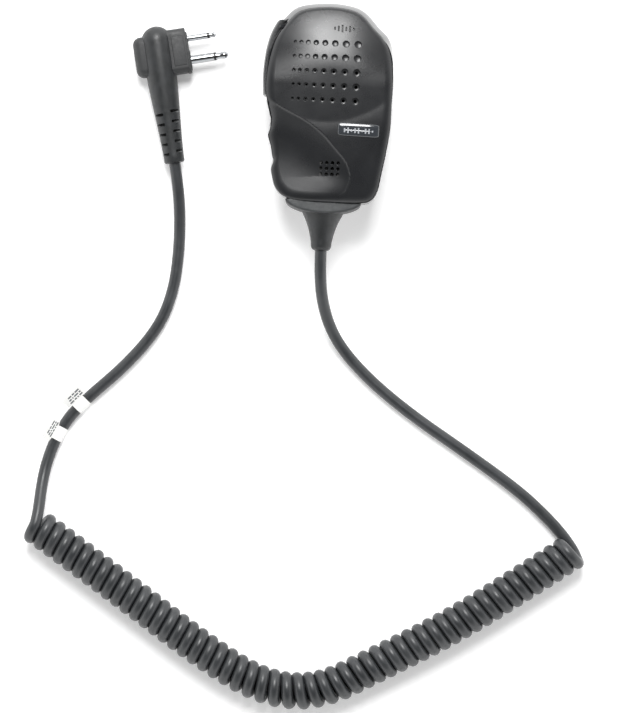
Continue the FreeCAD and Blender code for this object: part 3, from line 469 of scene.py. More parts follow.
# The edge between the dome and the flatter field under it, and the edge of the finger hollow.
DOME_EDGE = [(-34, 2), (-23, -1.5), (-14, -6.0), (-5, -8.4), (5.5, -7.9), (14, -5.0), (21, -1.0), (34, 8)]
HOLLOW_EDGE = [
    (-34, 3.0), (-23, -0.8), (-16.8, -3.9), (-10.6, -6.9), (-5.2, -10.0), (-0.2, -14.0), (4.1, -18.6),
    (7.9, -22.6), (10.4, -26.6), (10.9, -30.6), (9.6, -34.8), (7.0, -39.0), (3.0, -46.0),
]  # fmt: skip


CREST_X, CREST_Y = 1, 12  # the front's highest place
SIDE_FALL, TOP_FALL, FOOT_FALL = 0.0030, 0.0080, 0.0015  # how fast it falls to the sides, top and foot
CORNER_FALL = 0.0034  # the extra fall of the dome's upper corners
LIP_RISE, FIELD_SLOPE = 0.45, 0.02  # the field stands up from the dome's edge, then climbs gently
HOLLOW_STEP, HOLLOW_DEPTH = 0.3, 4.7
HOLLOW_TURN = -10.5  # below here the hollow's floor comes back up to the foot


def through(points, closed, count):
    """Points evenly spaced along a smooth curve through a list of points."""
    n = len(points)
    spans = n if closed else n - 1
    pick = (lambda i: points[i % n]) if closed else (lambda i: points[max(0, min(n - 1, i))])
    fine = []
    for k in range(spans):
        p0, p1, p2, p3 = (Vector(pick(k + j)) for j in (-1, 0, 1, 2))
        for step in range(24):
            t = step / 24
            fine.append(0.5 * (2 * p1 + (p2 - p0) * t + (2 * p0 - 5 * p1 + 4 * p2 - p3) * t**2
                               + (3 * p1 - p0 - 3 * p2 + p3) * t**3))  # fmt: skip
    fine.append(Vector(pick(spans)))
    lengths = [0.0]
    for a, b in zip(fine, fine[1:]):
        lengths.append(lengths[-1] + (b - a).length)
    steps = count if closed else count - 1
    found, j = [], 0
    for i in range(count):
        want = lengths[-1] * i / steps
        while j < len(fine) - 2 and lengths[j + 1] < want:
            j += 1
        share = (want - lengths[j]) / max(lengths[j + 1] - lengths[j], 1e-9)
        found.append(fine[j].lerp(fine[j + 1], min(share, 1.0)))
    return found


RIM = through(CASING, True, ROUND)


def pairs(points):
    """Each stretch of a line, as its two ends."""
    return list(zip(points, points[1:]))


DOME_LINE = pairs([tuple(p) for p in through(DOME_EDGE, False, 40)])
HOLLOW_LINE = pairs([tuple(p) for p in through(HOLLOW_EDGE, False, 56)])


def ease(t):
    """Nought to one, slow at both ends."""
    t = max(0.0, min(1.0, t))
    return t * t * (3 - 2 * t)


def facing_top():
    """For each point of the rim, how far the casing's side there faces the top: 0 to 1."""
    found = []
    for i, p in enumerate(RIM):
        run = RIM[(i + 1) % ROUND] - RIM[i - 1]
        found.append(max(0.0, min(1.0, (run.x / run.length + 0.1) / 0.6)))
    return found


FACING_TOP = facing_top()


def drawn_in(inset):
    """The casing's outline drawn in by an inset: one number, or a list with one for each point."""
    insets = inset if isinstance(inset, list) else [inset] * ROUND
    return [(p.x * (1 - q / HALF_WIDTH), p.y * (1 - q / HALF_HEIGHT)) for p, q in zip(RIM, insets)]


def side_of(line, x, y):
    """Distance from a line of points: above zero on its cord side, below zero on the other."""
    best, sign = 1e18, 1.0
    for (ax, ay), (bx, by) in line:
        rx, ry, tx, ty = bx - ax, by - ay, x - ax, y - ay
        share = (tx * rx + ty * ry) / (rx * rx + ry * ry)
        share = 0.0 if share < 0 else 1.0 if share > 1 else share
        gx, gy = tx - rx * share, ty - ry * share
        gap = gx * gx + gy * gy
        if gap < best:
            best = gap
            sign = 1.0 if rx * ty - ry * tx < 0 else -1.0
    return math.sqrt(best) * sign


def front_height(x, y):
    """The front's height: a dome that falls away at the top, a field under it and a finger hollow."""
    across, along = (x - CREST_X) ** 2, (y - CREST_Y) ** 2
    z = FRONT_Z - SIDE_FALL * across
    z -= TOP_FALL * along if y > CREST_Y else FOOT_FALL * along
    z -= CORNER_FALL * across * ease((y - 6) / 16)
    below = side_of(DOME_LINE, x, y)
    below = 0.5 * (below + math.sqrt(below * below + 0.5))  # rounds the crease along the dome's edge
    z += LIP_RISE * (1 - math.exp(-below / 4.0)) + FIELD_SLOPE * min(below, 12.0)
    depth = side_of(HOLLOW_LINE, x, y)
    if depth > 0:
        lift = min(((HOLLOW_TURN - y) / 29.5) ** 1.65, 1.0) if y < HOLLOW_TURN else 0.0
        z -= HOLLOW_STEP * ease(depth / 0.7) * (1 - 0.4 * lift)
        z -= HOLLOW_DEPTH * math.tanh(depth / 10) * (1 - lift)
    return z


def front_normal(x, y):
    """The front's outward direction, from how its height changes over a tenth of a millimetre."""
    here = front_height(x, y)
    return Vector((here - front_height(x + 0.1, y), here - front_height(x, y + 0.1), 0.1)).normalized()


EDGE = 4.05  # from the outline to where the front's round edge ends


def front_rings(inward):
    """Rings from the joint up the side, over the shoulder and in to the middle of the front.

    The side leans in more where it faces the top, so its round edge is narrower there.
    """
    rings = []
    lean = [0.2 + 2.3 * t for t in FACING_TOP]
    crest = [front_height(x, y) - 1.6 - inward for x, y in drawn_in(3.9)]
    for step in range(13):
        share = step / 12
        inset = [inward + q * share**1.2 + (0.25 if step == 0 else 0.0) for q in lean]
        spots = zip(drawn_in(inset), crest)
        rings.append([spot(x, y, JOINT_Z + (top - JOINT_Z) * share) for (x, y), top in spots])
    for step in range(1, 11):
        angle = math.radians(6 + 84 * step / 10)
        inset = [inward + q + (EDGE - q) * (1 - math.cos(angle)) ** 1.1 for q in lean]
        drop = 1.6 * (1 - math.sin(angle)) + inward
        rings.append([spot(x, y, front_height(x, y) - drop) for x, y in drawn_in(inset)])
    steps = 72 if inward == 0 else 16
    start = drawn_in(inward + EDGE)
    for step in range(1, steps):
        share = 1 - step / steps
        inner = [(x * share, y * share) for x, y in start]
        rings.append([spot(x, y, front_height(x, y) - inward) for x, y in inner])
    return rings


def true_front_normals(front):
    """Gives the front's faces the surface's own directions, so that its cut openings leave no smudges."""
    mesh = front.data
    found = {}
    start = {i for i, v in enumerate(mesh.vertices) if v.co.z > 28 * MM}
    for i in start:
        x, y, z = mesh.vertices[i].co / MM
        if abs(z - front_height(x, y)) < 0.012:
            found[i] = front_normal(x, y)
    normals = [Vector()] * len(mesh.loops)
    for face in mesh.polygons:
        if face.normal.z > 0.7 and all(v in found for v in face.vertices):
            for loop in face.loop_indices:
                normals[loop] = found[mesh.loops[loop].vertex_index]
    mesh.normals_split_custom_set(normals)


def polish_sides(half):
    """Gives a casing half's steep outer faces the polished material."""
    half.data.materials.append(MATERIALS["side"])
    for face in half.data.polygons:
        face.material_index = int(abs(face.normal.z) < 0.5 and face.center.z > BACK_Z * MM)


def rear_rings(inward):
    """Rings from the joint round to the middle of the flat back."""
    rings = []
    for step in range(15):
        angle = math.radians(90 * step / 14)
        inset = inward + 7.0 * (1 - math.cos(angle)) + (0.25 if step == 0 else 0.0)
        z = JOINT_Z - (JOINT_Z - BACK_Z - inward) * math.sin(angle)
        rings.append([spot(x, y, z) for x, y in drawn_in(inset)])
    for step in range(1, 8):
        inset = inward + 7.0 + (HALF_WIDTH - inward - 7.0) * step / 8
        rings.append([spot(x, y, BACK_Z + inward) for x, y in drawn_in(inset)])
    return rings


def shell(name, rings):
    """A casing half with a real wall: the outer rings run down to the joint and the inner ones back up."""
    shape = bmesh.new()
    skin(shape, rings(0.0)[::-1] + rings(WALL))
    return make_piece(name, shape, "casing")


GRILLE_X, GRILLE_Y, GRILLE_ROW = -14.0, 23.0, 5.7
VOICE_X, VOICE_Y, VOICE_PITCH, VOICE_RADIUS = -1.2, -24.7, 2.3, 0.75


def grille_columns():
    """Each column's place and dimple radius; both grow from left to right."""
    x = GRILLE_X
    for k in range(8):
        yield x, 0.65 + 0.13 * k
        x += 2.4 + 0.4 * k


def on_front(x, y):
    """A place on the front with its local Z along the surface's outward direction."""
    turn = Vector((0, 0, 1)).rotation_difference(front_normal(x, y)).to_matrix().to_4x4()
    return Matrix.Translation(spot(x, y, front_height(x, y))) @ turn


def rounded_mouth(radius, lip):
    """A cutter's outline through the surface: a mouth rounded by lip, down to a straight wall."""
    turns = [math.radians(a) for a in (12, 30, 48, 66, 84)]
    mouth = [(radius + lip * (1 - math.sin(a)), -lip * (1 - math.cos(a))) for a in turns]
    return [(radius + lip * 1.25, 0.08), *mouth, (radius, -lip)]


def dimple(shape, x, y, radius, pierced):
    """The cutter for one dimple: a rounded mouth, a wall and, if pierced, a hole in its floor."""
    profile = rounded_mouth(radius * 0.9, 0.28) + [(radius * 0.86, -0.75), (radius * 0.7, -0.85)]
    if pierced:
        profile += [(radius * 0.45, -0.86), (radius * 0.45, -3.2)]
    turned(shape, [(radius * 0.9 + 0.35, 0.9), *profile], on_front(x, y), 28)


def sound_openings():
    shape = bmesh.new()
    for x, radius in grille_columns():
        for row in range(5):
            dimple(shape, x, GRILLE_Y - row * GRILLE_ROW, radius, row > 1)
    for column in range(4):
        for row in range(3):
            x, y = VOICE_X + column * VOICE_PITCH, VOICE_Y - row * VOICE_PITCH
            profile = rounded_mouth(VOICE_RADIUS, 0.12)
            turned(shape, [(VOICE_RADIUS + 0.15, 0.9), *profile, (VOICE_RADIUS, -3.2)], on_front(x, y), 20)
    for k, tall in enumerate((0.7, 1.2, 1.6, 0.9, 1.35, 0.7)):
        rounded_block(shape, (-0.33, -tall, -0.6), (0.33, tall, 0.5), 0.25, 3, on_front(1.6 + 1.5 * k, 29.2))
    return tool_from(shape)


LEVER_LOW, LEVER_HIGH = node_box("talk_lever")[0].y, node_box("talk_lever")[1].y
LEVER_Z = 22.0
LEVER_HALF = 6.0


def side_band(inset, low, high, count=40):
    """Points up the lever's stretch of the casing's left side, drawn in by an inset."""
    ring = [p for p in drawn_in(inset) if p[0] < 0]
    ring.sort(key=lambda p: p[1])
    band = []
    for i in range(count):
        y = low + (high - low) * i / (count - 1)
        for a, b in zip(ring, ring[1:]):
            if a[1] <= y <= b[1]:
                band.append((a[0] + (b[0] - a[0]) * (y - a[1]) / (b[1] - a[1]), y))
                break
    return band


def band_solid(shape, outer, inner, low, high, half, crown=0.0):
    """A bar along the casing's side between two insets. Its outer face may be crowned."""
    out, into = side_band(outer, low, high), side_band(inner, low, high)
    turns = [math.radians(-84 + 14 * k) for k in range(13)] if crown else [-math.pi / 2, math.pi / 2]
    rings = []
    for (x0, y0), (x1, y1) in zip(out, into):
        face = [spot(x0 + crown * (1 - math.cos(a)), y0, LEVER_Z + half * math.sin(a)) for a in turns]
        rings.append([*face, spot(x1, y1, LEVER_Z + half), spot(x1, y1, LEVER_Z - half)])
    skin(shape, rings)


def lever_pocket():
    shape = bmesh.new()
    band_solid(shape, -4.0, 4.8, LEVER_LOW - 0.5, LEVER_HIGH + 0.25, LEVER_HALF + 0.4)
    return tool_from(shape)


def cord_opening():
    shape = bmesh.new()
    along = Matrix.Translation(spot(0.5, 0, 20)) @ Matrix.Rotation(math.radians(90), 4, "X")
    turned(shape, [(4.4, 36), (4.4, 45)], along)
    return tool_from(shape)


def front_casing():
    front = shell("front_casing", front_rings)
    for tool in (lever_pocket(), cord_opening(), sound_openings()):
        carve(front, tool)
    shade(front, 32)
    polish_sides(front)
    true_front_normals(front)
    return front


SCREW_PLACES = [(-5.5, 31.8), (8.5, 32.2), (-13.6, -32.0), (15.6, -32.4)]


def rear_casing():
    """The back, with the clip's boss, the four screw wells and the same pocket for the lever."""
    rear = shell("rear_casing", rear_rings)
    boss = bmesh.new()
    clip = node_box("swivel_screw")
    place = Matrix.Translation(spot((clip[0].x + clip[1].x) / 2, (clip[0].y + clip[1].y) / 2, 0))
    turned(boss, [(7.7, 9.7), (8.0, 10.0), (8.0, 12.0)], place, 64)
    carve(rear, tool_from(boss), "UNION")
    posts = bmesh.new()
    for x, y in SCREW_PLACES:
        turned(posts, [(3.2, 11.3), (3.2, 17.0)], Matrix.Translation(spot(x, y, 0)))
    turned(posts, [(5.2, 11.4), (5.2, 15.6)], place)
    carve(rear, tool_from(posts), "UNION")
    wells = bmesh.new()
    for x, y in SCREW_PLACES:
        turned(wells, [(2.5, 9.5), (2.2, 11.0), (2.2, 13.5), (1.2, 13.5), (1.2, 18.0)],
               Matrix.Translation(spot(x, y, 0)))  # fmt: skip
    turned(wells, [(3.2, 8.7), (3.2, 14.6)], place)
    carve(rear, tool_from(wells))
    for tool in (lever_pocket(), cord_opening()):
        carve(rear, tool)
    shade(rear, 32)
    polish_sides(rear)
    return rear


def talk_lever():
    """The lever's bar with rounded edges, its pivot lug and its nub."""
    shape = bmesh.new()
    band_solid(shape, -1.25, 1.8, LEVER_LOW, LEVER_HIGH, LEVER_HALF, 1.9)
    bmesh.ops.recalc_face_normals(shape, faces=shape.faces)
    sharp = [e for e in shape.edges if len(e.link_faces) == 2 and e.calc_face_angle() > math.radians(50)]
    bmesh.ops.bevel(shape, geom=sharp, offset=0.5 * MM, offset_type="OFFSET", affect="EDGES", segments=3,
                    profile=0.5, material=-1)  # fmt: skip
    lever = make_piece("talk_lever_bar", shape, "lever")
    extras = bmesh.new()
    pin = node_box("talk_lever_pin")
    x, y = (pin[0].x + pin[1].x) / 2, (pin[0].y + pin[1].y) / 2
    barrel = [(1.7, LEVER_Z - LEVER_HALF + 0.3), (1.7, LEVER_Z + LEVER_HALF - 0.3)]
    turned(extras, barrel, Matrix.Translation(spot(x, y, 0)))
    tip = node_box("talk_lever")[1].x
    press = node_box("switch_plunger")
    push = Matrix.Translation(spot(0, (press[0].y + press[1].y) / 2, LEVER_Z))
    across = push @ Matrix.Rotation(math.radians(90), 4, "Y")
    turned(extras, [(1.6, -24.2), (1.6, tip)], across, 32)
    carve(lever, tool_from(extras), "UNION")
    bore = bmesh.new()
    turned(bore, [(0.85, 12), (0.85, 32)], Matrix.Translation(spot(x, y, 0)), 32)
    carve(lever, tool_from(bore))
    shade(lever)
    return lever


def lever_pin():
    """The pin that the talk lever turns on, with broken ends."""
    low, high = node_box("talk_lever_pin")
    x, y, radius, top = (low.x + high.x) / 2, (low.y + high.y) / 2, (high.x - low.x) / 2, min(high.z, 30.0)
    shape = bmesh.new()
    profile = [(radius - 0.15, low.z), (radius, low.z + 0.15), (radius, top - 0.15), (radius - 0.15, top)]
    turned(shape, profile, Matrix.Translation(spot(x, y, 0)), 32)
    return make_piece("talk_lever_pivot", shape, "dark_steel")


# ---- badge and marks ----------------------------------------------------------------------------


BADGE_DOME = [(0.0, -0.6), (0.0, 0.12), (0.06, 0.3), (0.2, 0.44), (0.45, 0.55), (0.8, 0.62),
              (1.3, 0.67), (1.9, 0.7), (2.4, 0.71)]  # in from the edge, up from the casing  # fmt: skip


def badge():
    """A domed resin plate that follows the front, with a row of level bars printed under the dome."""
    low, high = node_box("badge_plate")
    middle, half_long, half_high = (low + high) / 2, (high.x - low.x) / 2, (high.y - low.y) / 2
    shape = bmesh.new()
    rings = []
    count = 96
    for inset, rise in BADGE_DOME:
        ring = []
        for i in range(count):
            a = 2 * math.pi * (i + 0.5) / count
            c, s = math.cos(a), math.sin(a)
            x = (half_long - inset) * math.copysign(abs(c) ** 0.22, c)
            y = (half_high - inset) * math.copysign(abs(s) ** 0.22, s)
            x, y = middle.x + x, middle.y + y - 0.012 * x
            ring.append(spot(x, y, front_height(x, y) + rise))
        rings.append(ring)
    skin(shape, rings)
    plate = make_piece("badge_dome", shape, "badge", 50)
    bars = bmesh.new()
    for k in range(9):
        x = middle.x - 5.6 + 1.4 * k
        tall = 0.3 + 0.85 * abs(math.sin(1.1 * k + 0.7))
        z = front_height(x, middle.y) + 0.705
        level = middle.y - 0.35
        low_end, high_end = (x - 0.3, level - tall, z - 0.1), (x + 0.3, level + tall, z + 0.03)
        rounded_block(bars, low_end, high_end, 0.02, 1)
    marks = make_piece("badge_level_bars", bars, "print")
    return plate, marks


# ---- strain relief ------------------------------------------------------------------------------

BOOT_X, BOOT_Z = 0.5, 20.0


def mic_boot():
    """A lens-shaped collar against the casing and a flared neck that narrows to the cord."""
    shape = bmesh.new()
    count, low, top = 120, -8.5, 11.2
    rings = []
    for inset, height in ((0.9, low), (0.35, low + 0.2), (0.0, low + 0.8), (0.0, 0.0), (0.0, top - 0.9),
                          (0.12, top - 0.5), (0.4, top - 0.18), (0.7, top - 0.04), (1.0, top)):  # fmt: skip
        ring = []
        for i in range(count):
            a = 2 * math.pi * i / count
            bulge = 4.9 if math.sin(a) < 0 else 1.5
            x, y = (15.3 - 1.6 * inset) * math.cos(a), (bulge - inset) * math.sin(a)
            dip = 0.12 * (y + 4.9) if height > top - 1 else 0.0  # the top face leans towards the casing
            ring.append(spot(BOOT_X + x, -40.0 + y * (1 - 0.1 * math.cos(a) ** 2), BOOT_Z + height - dip))
        rings.append(ring)
    skin(shape, rings)
    collar = make_piece("cord_boot", shape, "boot", 55)
    neck = bmesh.new()
    along = Matrix.Translation(spot(BOOT_X, 0, BOOT_Z)) @ Matrix.Rotation(math.radians(90), 4, "X")
    flare = [(8.4, 42.2), (8.3, 44.4), (7.9, 45.3), (7.1, 46.8), (6.35, 48.5), (5.65, 50.4), (5.05, 52.4),
             (4.6, 54.4), (4.3, 56.0), (4.2, 57.0), (4.12, 57.9), (3.75, 58.8), (3.1, 59.35),
             (2.6, 59.5)]  # fmt: skip
    turned(neck, flare, along, 64)
    carve(collar, tool_from(neck), "UNION")
    shade(collar, 40)
    # The collar's upward top faces take a lighter charcoal than the rest of the boot: painted light on that
    # face.
    collar.data.materials.append(MATERIALS["collar"])
    for face in collar.data.polygons:
        face.material_index = int(face.normal.z > 0.85 and face.center.z > (BOOT_Z + 8.6) * MM)
    return collar


# ---- plug ---------------------------------------------------------------------------------------

PLUG_PLACE = Matrix.Translation(spot(-61.3, -26.1, 6.3)) @ Matrix.Rotation(math.radians(11.5), 4, "Z")
UPRIGHT = Matrix.Rotation(math.radians(-90), 4, "X")  # local Z onto the plug's length
SIDEWAYS = Matrix.Rotation(math.radians(90), 4, "Y")  # local Z onto the contacts' direction
PLUG_RADIUS, PLUG_LENGTH, PLUG_TAIL = 6.35, 56.6, 4.15
# Each contact's place up the block, its radius, its length, and how far along its insulating ring is.
CONTACTS = {"small": (49.7, 1.25, 11.6, 0.69), "large": (40.8, 1.75, 15.5, 0.61)}
# The tip's swelling: share of the way from the waist to the point, and share of the radius.
TIP_POINTS = [(0.25, 0.76), (0.45, 0.84), (0.6, 0.89), (0.7, 0.86), (0.82, 0.66), (0.93, 0.36), (0.99, 0.12)]
PAD_FACE = 13.0


def plug_sleeve():
    """The soft sleeve: a round head, a long taper and five pairs of flex slots at the tail."""
    shape = bmesh.new()
    profile = [(PLUG_TAIL - 0.7, 0.0), (PLUG_TAIL - 0.25, 0.15), (PLUG_TAIL, 0.7)]
    for step in range(1, 19):
        share = step / 18
        profile.append((PLUG_TAIL + (PLUG_RADIUS - PLUG_TAIL) * ease(share) ** 0.9, 0.7 + 41.5 * share))
    centre = PLUG_LENGTH - PLUG_RADIUS
    for step in range(13):
        angle = math.radians(88 * step / 12)
        profile.append((PLUG_RADIUS * math.cos(angle), centre + PLUG_RADIUS * math.sin(angle)))
    turned(shape, profile, PLUG_PLACE @ UPRIGHT, 72)
    sleeve = make_piece("plug_sleeve", shape, "boot")
    slots = bmesh.new()
    for k in range(5):
        for side in (-1, 1):
            y = 3.9 + 4.1 * k + 0.5 * side
            inner, outer = sorted((side * 1.5, side * 9.0))
            for face in (-1, 1):
                low, high = sorted((face * (1.7 + 0.1 * k), face * 9.0))
                rounded_block(slots, (inner, y - 0.6, low), (outer, y + 0.6, high), 0.3, 2, PLUG_PLACE)
    carve(sleeve, tool_from(slots))
    shade(sleeve)
    return sleeve


def bar_along_x(shape, low, high, radius, end=0.3):
    """A bar along local X whose long edges are rounded by radius and whose ends are lightly broken."""
    rings = []
    (x0, y0, z0), (x1, y1, z1) = low, high
    for x, inset in ((x0, end), (x0 + end, 0.0), (x1 - end, 0.0), (x1 - 0.3 * end, 0.3 * end), (x1, end)):
        ring = []
        for cy, cz, turn in ((y1, z1, 0), (y0, z1, 90), (y0, z0, 180), (y1, z0, 270)):
            for k in range(7):
                a = math.radians(turn + 15 * k)
                y = cy + (-radius if cy == y1 else radius) + (radius - inset) * math.cos(a)
                z = cz + (-radius if cz == z1 else radius) + (radius - inset) * math.sin(a)
                ring.append(PLUG_PLACE @ spot(x, y, z))
        rings.append(ring)
    skin(shape, rings)


def plug_block():
    """The hard block: a round back, a body rounded top and bottom, and a stepped face plate."""
    shape = bmesh.new()
    rounded_block(shape, (-9.9, 36.2, -3.8), (4.0, 53.0, 3.8), 3.2, 6, PLUG_PLACE)
    block = make_piece("plug_hard_block", shape, "block")
    for low, high, radius in (
        ((1.0, 35.6, -3.9), (12.1, 54.2, 3.9), 2.4),
        ((6.0, 38.6, -4.1), (11.2, 51.0, 4.1), 0.5),
        ((11.0, 35.4, -3.4), (12.7, 52.4, 3.4), 1.6),
        ((11.0, 36.4, -3.0), (13.0, 44.9, 3.0), 2.2),
    ):
        more = bmesh.new()
        bar_along_x(more, low, high, radius)
        carve(block, tool_from(more), "UNION")
    shade(block)
    return block


def contact_part(name, key, profile, finish):
    """One turned part of a contact from (radius share, distance from the pad) pairs."""
    y, radius, _, _ = CONTACTS[key]
    shape = bmesh.new()
    place = PLUG_PLACE @ Matrix.Translation(spot(0, y, 0)) @ SIDEWAYS
    turned(shape, [(radius * share, PAD_FACE + along) for share, along in profile], place, 40)
    return make_piece(f"{key}_contact_{name}", shape, finish)


def contacts():
    """Each contact's sleeve, insulating ring and waisted tip."""
    made = []
    for key, (_, _, length, share) in CONTACTS.items():
        ring = share * length
        sleeve = [(0.9, -2.9), (1.0, -2.8), (1.0, ring - 0.12), (0.93, ring)]
        insulator = [(0.9, ring - 0.05), (0.97, ring + 0.02), (0.97, ring + 0.68), (0.9, ring + 0.75)]
        waist = ((0.9, 0.72), (0.99, 0.82), (0.99, 1.1), (0.76, 1.35), (0.72, 1.7))
        tip = [(radius, ring + rise) for radius, rise in waist]
        head = length - ring - 1.7
        for along, radius in TIP_POINTS:
            tip.append((radius, ring + 1.7 + head * along))
        for part, profile in (("sleeve", sleeve), ("insulator", insulator), ("tip", tip)):
            finish = "insulator" if part == "insulator" else "contact"
            made.append((contact_part(part, key, profile, finish), f"{key}_contact_{part}"))
    return made


# ---- cord ---------------------------------------------------------------------------------------

CORD_DIAMETER = 4.8
COIL_RADIUS = 5.3  # of the cord's own line round the coil's axis
MIC_LEAD = [
    (0.5, -59.3, 20.0), (0.6, -67.0, 19.6), (1.8, -78.5, 15.2), (5.6, -90.0, 7.6), (12.5, -100.5, 2.9),
    (25.0, -112.5, 2.4), (42.0, -125.0, 2.4), (64.0, -138.5, 2.4), (86.5, -153.0, 2.4),
    (98.5, -163.0, 2.4), (106.0, -170.5, 2.4),
]  # fmt: skip
COIL_AXIS = [
    (-110.6, -177.6, 7.7), (-72.0, -203.0, 7.7), (-38.0, -226.5, 7.7), (-13.0, -239.8, 7.7), (9.0, -240.2, 7.7),
    (31.0, -228.0, 7.7), (62.0, -210.5, 7.7), (88.0, -192.6, 7.7), (110.6, -176.5, 7.7),
]  # fmt: skip
PLUG_LEAD = [
    (-61.4, -25.7, 6.3), (-59.8, -33.5, 5.8), (-58.2, -46.0, 3.2), (-57.8, -62.0, 2.4), (-59.2, -78.5, 2.4),
    (-64.5, -94.0, 2.4), (-77.5, -110.6, 2.4), (-96.0, -127.8, 2.4), (-103.8, -139.6, 2.4),
    (-107.6, -151.0, 2.65), (-108.9, -159.5, 4.6), (-109.2, -166.0, 7.8), (-109.3, -171.6, 11.0),
]  # fmt: skip
TURNS = 51
TURN_START, TURN_END = 78.0, 270.0  # degrees round the axis where the plug's and the microphone's leads join
POINTS_PER_TURN = 14


def open_spline(name, points, thickness=0.0):
    """An open quadratic NURBS curve with the points, in millimetres, as its control points."""
    curve = bpy.data.curves.new(name, "CURVE")
    curve.dimensions = "3D"
    spline = curve.splines.new("NURBS")
    spline.points.add(len(points) - 1)
    for control, point in zip(spline.points, points):
        control.co = (*(Vector(point) * MM), 1.0)
    spline.order_u = 3
    spline.use_endpoint_u = True
    spline.resolution_u = 5
    curve.bevel_depth = thickness / 2 * MM
    curve.bevel_resolution = 5
    curve.use_fill_caps = True
    made = bpy.data.objects.new(name, curve)
    bpy.context.collection.objects.link(made)
    return made


def line_points(curve):
    """The points of a curve's own line, in millimetres, read with its thickness off."""
    depth, curve.data.bevel_depth = curve.data.bevel_depth, 0.0
    graph = bpy.context.evaluated_depsgraph_get()
    graph.update()
    mesh = bpy.data.meshes.new_from_object(curve.evaluated_get(graph))
    points = [vert.co / MM for vert in mesh.vertices]
    bpy.data.meshes.remove(mesh)
    curve.data.bevel_depth = depth
    return points


def path_length(points):
    return sum((b - a).length for a, b in zip(points, points[1:]))


def along_path(points):
    """A function that gives the point and the heading at a share of a path's length."""
    lengths = [0.0]
    for a, b in zip(points, points[1:]):
        lengths.append(lengths[-1] + (b - a).length)

    def at(share):
        want = share * lengths[-1]
        j = 0
        while j < len(points) - 2 and lengths[j + 1] < want:
            j += 1
        a, b = points[j], points[j + 1]
        inside = (want - lengths[j]) / (lengths[j + 1] - lengths[j])
        before, after = points[max(j - 1, 0)], points[min(j + 2, len(points) - 1)]
        heading = (b - before).normalized().lerp((after - a).normalized(), inside).normalized()
        return a.lerp(b, inside), heading

    return at


def coil_points():
    """The curly stretch from the plug's end to the microphone's: a right-handed helix round its axis."""
    guide = open_spline("coil_guide", COIL_AXIS)
    at = along_path(line_points(guide))
    bpy.data.objects.remove(guide)
    total = TURNS * 360 + (TURN_END - TURN_START) % 360
    # The turns stand a little further apart round the bend.
    steps = 400
    density = [1 / (1 + 0.1 * math.exp(-(((k / steps) - 0.5) / 0.13) ** 2)) for k in range(steps + 1)]
    summed = [0.0]
    for a, b in zip(density, density[1:]):
        summed.append(summed[-1] + (a + b) / 2)
    count = int(total / 360 * POINTS_PER_TURN)
    points, j = [], 0
    for i in range(count + 1):
        want = summed[-1] * i / count
        while j < steps - 1 and summed[j + 1] < want:
            j += 1
        share = (j + (want - summed[j]) / (summed[j + 1] - summed[j])) / steps
        centre, heading = at(min(share, 1.0))
        side = Vector((0, 0, 1)).cross(heading).normalized()
        turn = math.radians(TURN_START + total * i / count)
        radius = COIL_RADIUS / 0.976  # a quadratic curve runs a little inside its control points
        points.append(centre + radius * (math.cos(turn) * side + math.sin(turn) * Vector((0, 0, 1))))
    return points


def make_cord():
    """One cord from the microphone's boot, round every turn of the coil, to the plug."""
    route = [Vector(p) for p in MIC_LEAD] + coil_points()[::-1] + [Vector(p) for p in PLUG_LEAD[::-1]]
    cord = open_spline("curly_cord", route, CORD_DIAMETER)
    cord.data.materials.append(MATERIALS["cord"])
    return cord, path_length(line_points(cord))


def tag(name, corner, tilt, flip):
    """A cable tag at a corner of the plug's lead: film wrapped round the cord and folded on itself."""
    before, here, after = (Vector(p) for p in PLUG_LEAD[corner - 1 : corner + 2])
    middle, heading = (before + 6 * here + after) / 8, (after - before).normalized()
    side = Vector((0, 0, 1)).cross(heading).normalized() * flip
    turn = Matrix((heading, side, heading.cross(side))).transposed().to_4x4()
    place = Matrix.Translation(middle * MM) @ turn @ Matrix.Rotation(math.radians(tilt * flip), 4, "X")
    inner, thick, reach, gap = 2.47, 0.16, 9.8, 0.1
    path = [(reach, gap), (6.5, gap), (4.2, gap), (3.6, gap * 1.6), (2.85, 0.6)]
    for degrees in range(30, 331, 15):
        angle = math.radians(degrees)
        path.append((inner * math.cos(angle), inner * math.sin(angle)))
    path += [(2.85, -0.6), (3.6, -gap * 1.6), (4.2, -gap), (6.5, -gap), (reach, -gap)]
    shape = bmesh.new()
    rings = []
    for k, (y, z) in enumerate(path):
        y0, z0 = path[max(k - 1, 0)]
        y1, z1 = path[min(k + 1, len(path) - 1)]
        out = Vector((z1 - z0, -(y1 - y0))).normalized() * -thick
        half = 4.6 if y > 4 else 2.9
        rings.append([place @ spot(x, a, b) for x, a, b in (
            (-half, y, z), (half, y, z),
            (half, y - out.x, z - out.y), (-half, y - out.x, z - out.y))])  # fmt: skip
    skin(shape, rings)
    film = make_piece(name, shape, "label", 40)
    ink = bmesh.new()
    top = gap + thick
    for row, dashes in enumerate(((1.6, 0.7, 1.1, 2.0), (0.9, 2.2, 0.6, 1.3), (2.1, 1.2, 1.7))):
        x, y = -3.9, 5.0 + 1.55 * row
        for dash in dashes:
            for lift in (top, -top):
                low, high = (x, y - 0.45, lift - 0.02), (x + dash, y + 0.45, lift + 0.02)
                rounded_block(ink, low, high, 0.01, 1, place)
            x += dash + 0.45
    return film, make_piece(f"{name}_print", ink, "grey_print")


# ---- stage --------------------------------------------------------------------------------------


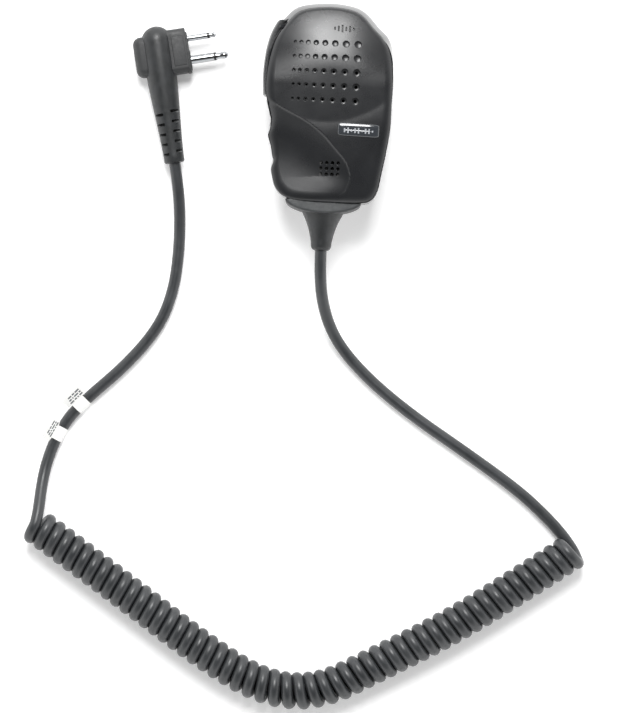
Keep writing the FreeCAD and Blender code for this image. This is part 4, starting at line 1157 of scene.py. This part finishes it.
def area_light(name, place, target, size, size_y, power, colour="ffffff"):
    """A soft panel of light aimed at a point. Places are in millimetres."""
    data = bpy.data.lights.new(name, "AREA")
    data.shape = "RECTANGLE"
    data.size, data.size_y, data.energy = size * MM, size_y * MM, power
    data.color = hex_colour(colour)[:3]
    light = bpy.data.objects.new(name, data)
    light.location = Vector(place) * MM
    light.rotation_euler = (Vector(target) - Vector(place)).to_track_quat("-Z", "Y").to_euler()
    bpy.context.collection.objects.link(light)
    light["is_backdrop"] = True


def make_stage():
    """A white table, one broad soft light towards the top, and a tent that is darkest overhead."""
    card = bmesh.new()
    level = Matrix.Translation(spot(0, 0, -0.05))  # a hair under the pieces that lie on it
    bmesh.ops.create_grid(card, x_segments=1, y_segments=1, size=4.0, matrix=level)
    floor = make_piece("card", card, "card")
    floor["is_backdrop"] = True
    area_light("key_panel", (-50, 575, 960), (0, -20, 10), 500, 600, 16)
    world = bpy.data.worlds.new("studio")
    world.use_nodes = True
    tree = world.node_tree
    split = add_node(tree, "ShaderNodeSeparateXYZ")
    tree.links.new(add_node(tree, "ShaderNodeTexCoord").outputs["Generated"], split.inputs["Vector"])
    vary(tree, split.outputs["Z"], tree.nodes["Background"].inputs["Strength"], 2.1, 0.13, 0.25, 0.82)
    tree.nodes["Background"].inputs["Color"].default_value = (1.0, 1.0, 1.0, 1)
    bpy.context.scene.world = world
    bpy.context.scene.view_settings.view_transform = "Standard"


# ---- put together -------------------------------------------------------------------------------


def join_handset(piece, slot, *nodes):
    """A piece that rides on the handset's body, in place of the CAD nodes it stands for."""
    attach(piece, "handset")
    if nodes:
        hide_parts(*nodes)
    return piece


def build():
    make_camera()
    cord, cord_length = make_cord()
    join_handset(cord, "cord_jacket", "cord_mic_lead", "cord_coil", "cord_plug_lead")
    sleeve = join_handset(plug_sleeve(), "boot_rubber", "plug_boot")
    block = join_handset(plug_block(), "component_plastic", "plug_block")
    on_cord = [sleeve, block]
    for piece, node in contacts():
        slot = "insulator_plastic" if "insulator" in node else "contact_chrome"
        on_cord.append(join_handset(piece, slot, node))
    for name, corner, tilt, flip in (("cable_label_upper", 7, 50, -1), ("cable_label_lower", 8, 62, -1)):
        film, ink = tag(f"{name}_film", corner, tilt, flip)
        join_handset(film, "label_film", name)
        join_handset(ink, "label_film")
        on_cord += [film, ink]
    Vector(MIC_LEAD[0]) * MM  # fmt: skip
    join_handset(front_casing(), "casing_plastic", "front_housing")
    join_handset(rear_casing(), "casing_plastic", "rear_housing")
    plate, marks = badge()
    join_handset(plate, "badge_resin", "badge_plate")
    join_handset(marks, "badge_resin")
    join_handset(mic_boot(), "boot_rubber", "mic_boot")
    lever = talk_lever()
    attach(lever, "talk_lever")
    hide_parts("talk_lever")
    join_handset(lever_pin(), "screw_steel", "talk_lever_pin")
    finish_cad_nodes()
    make_stage()


build()

[[list(corner) for corner in box] for box in (cad_box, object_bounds())]
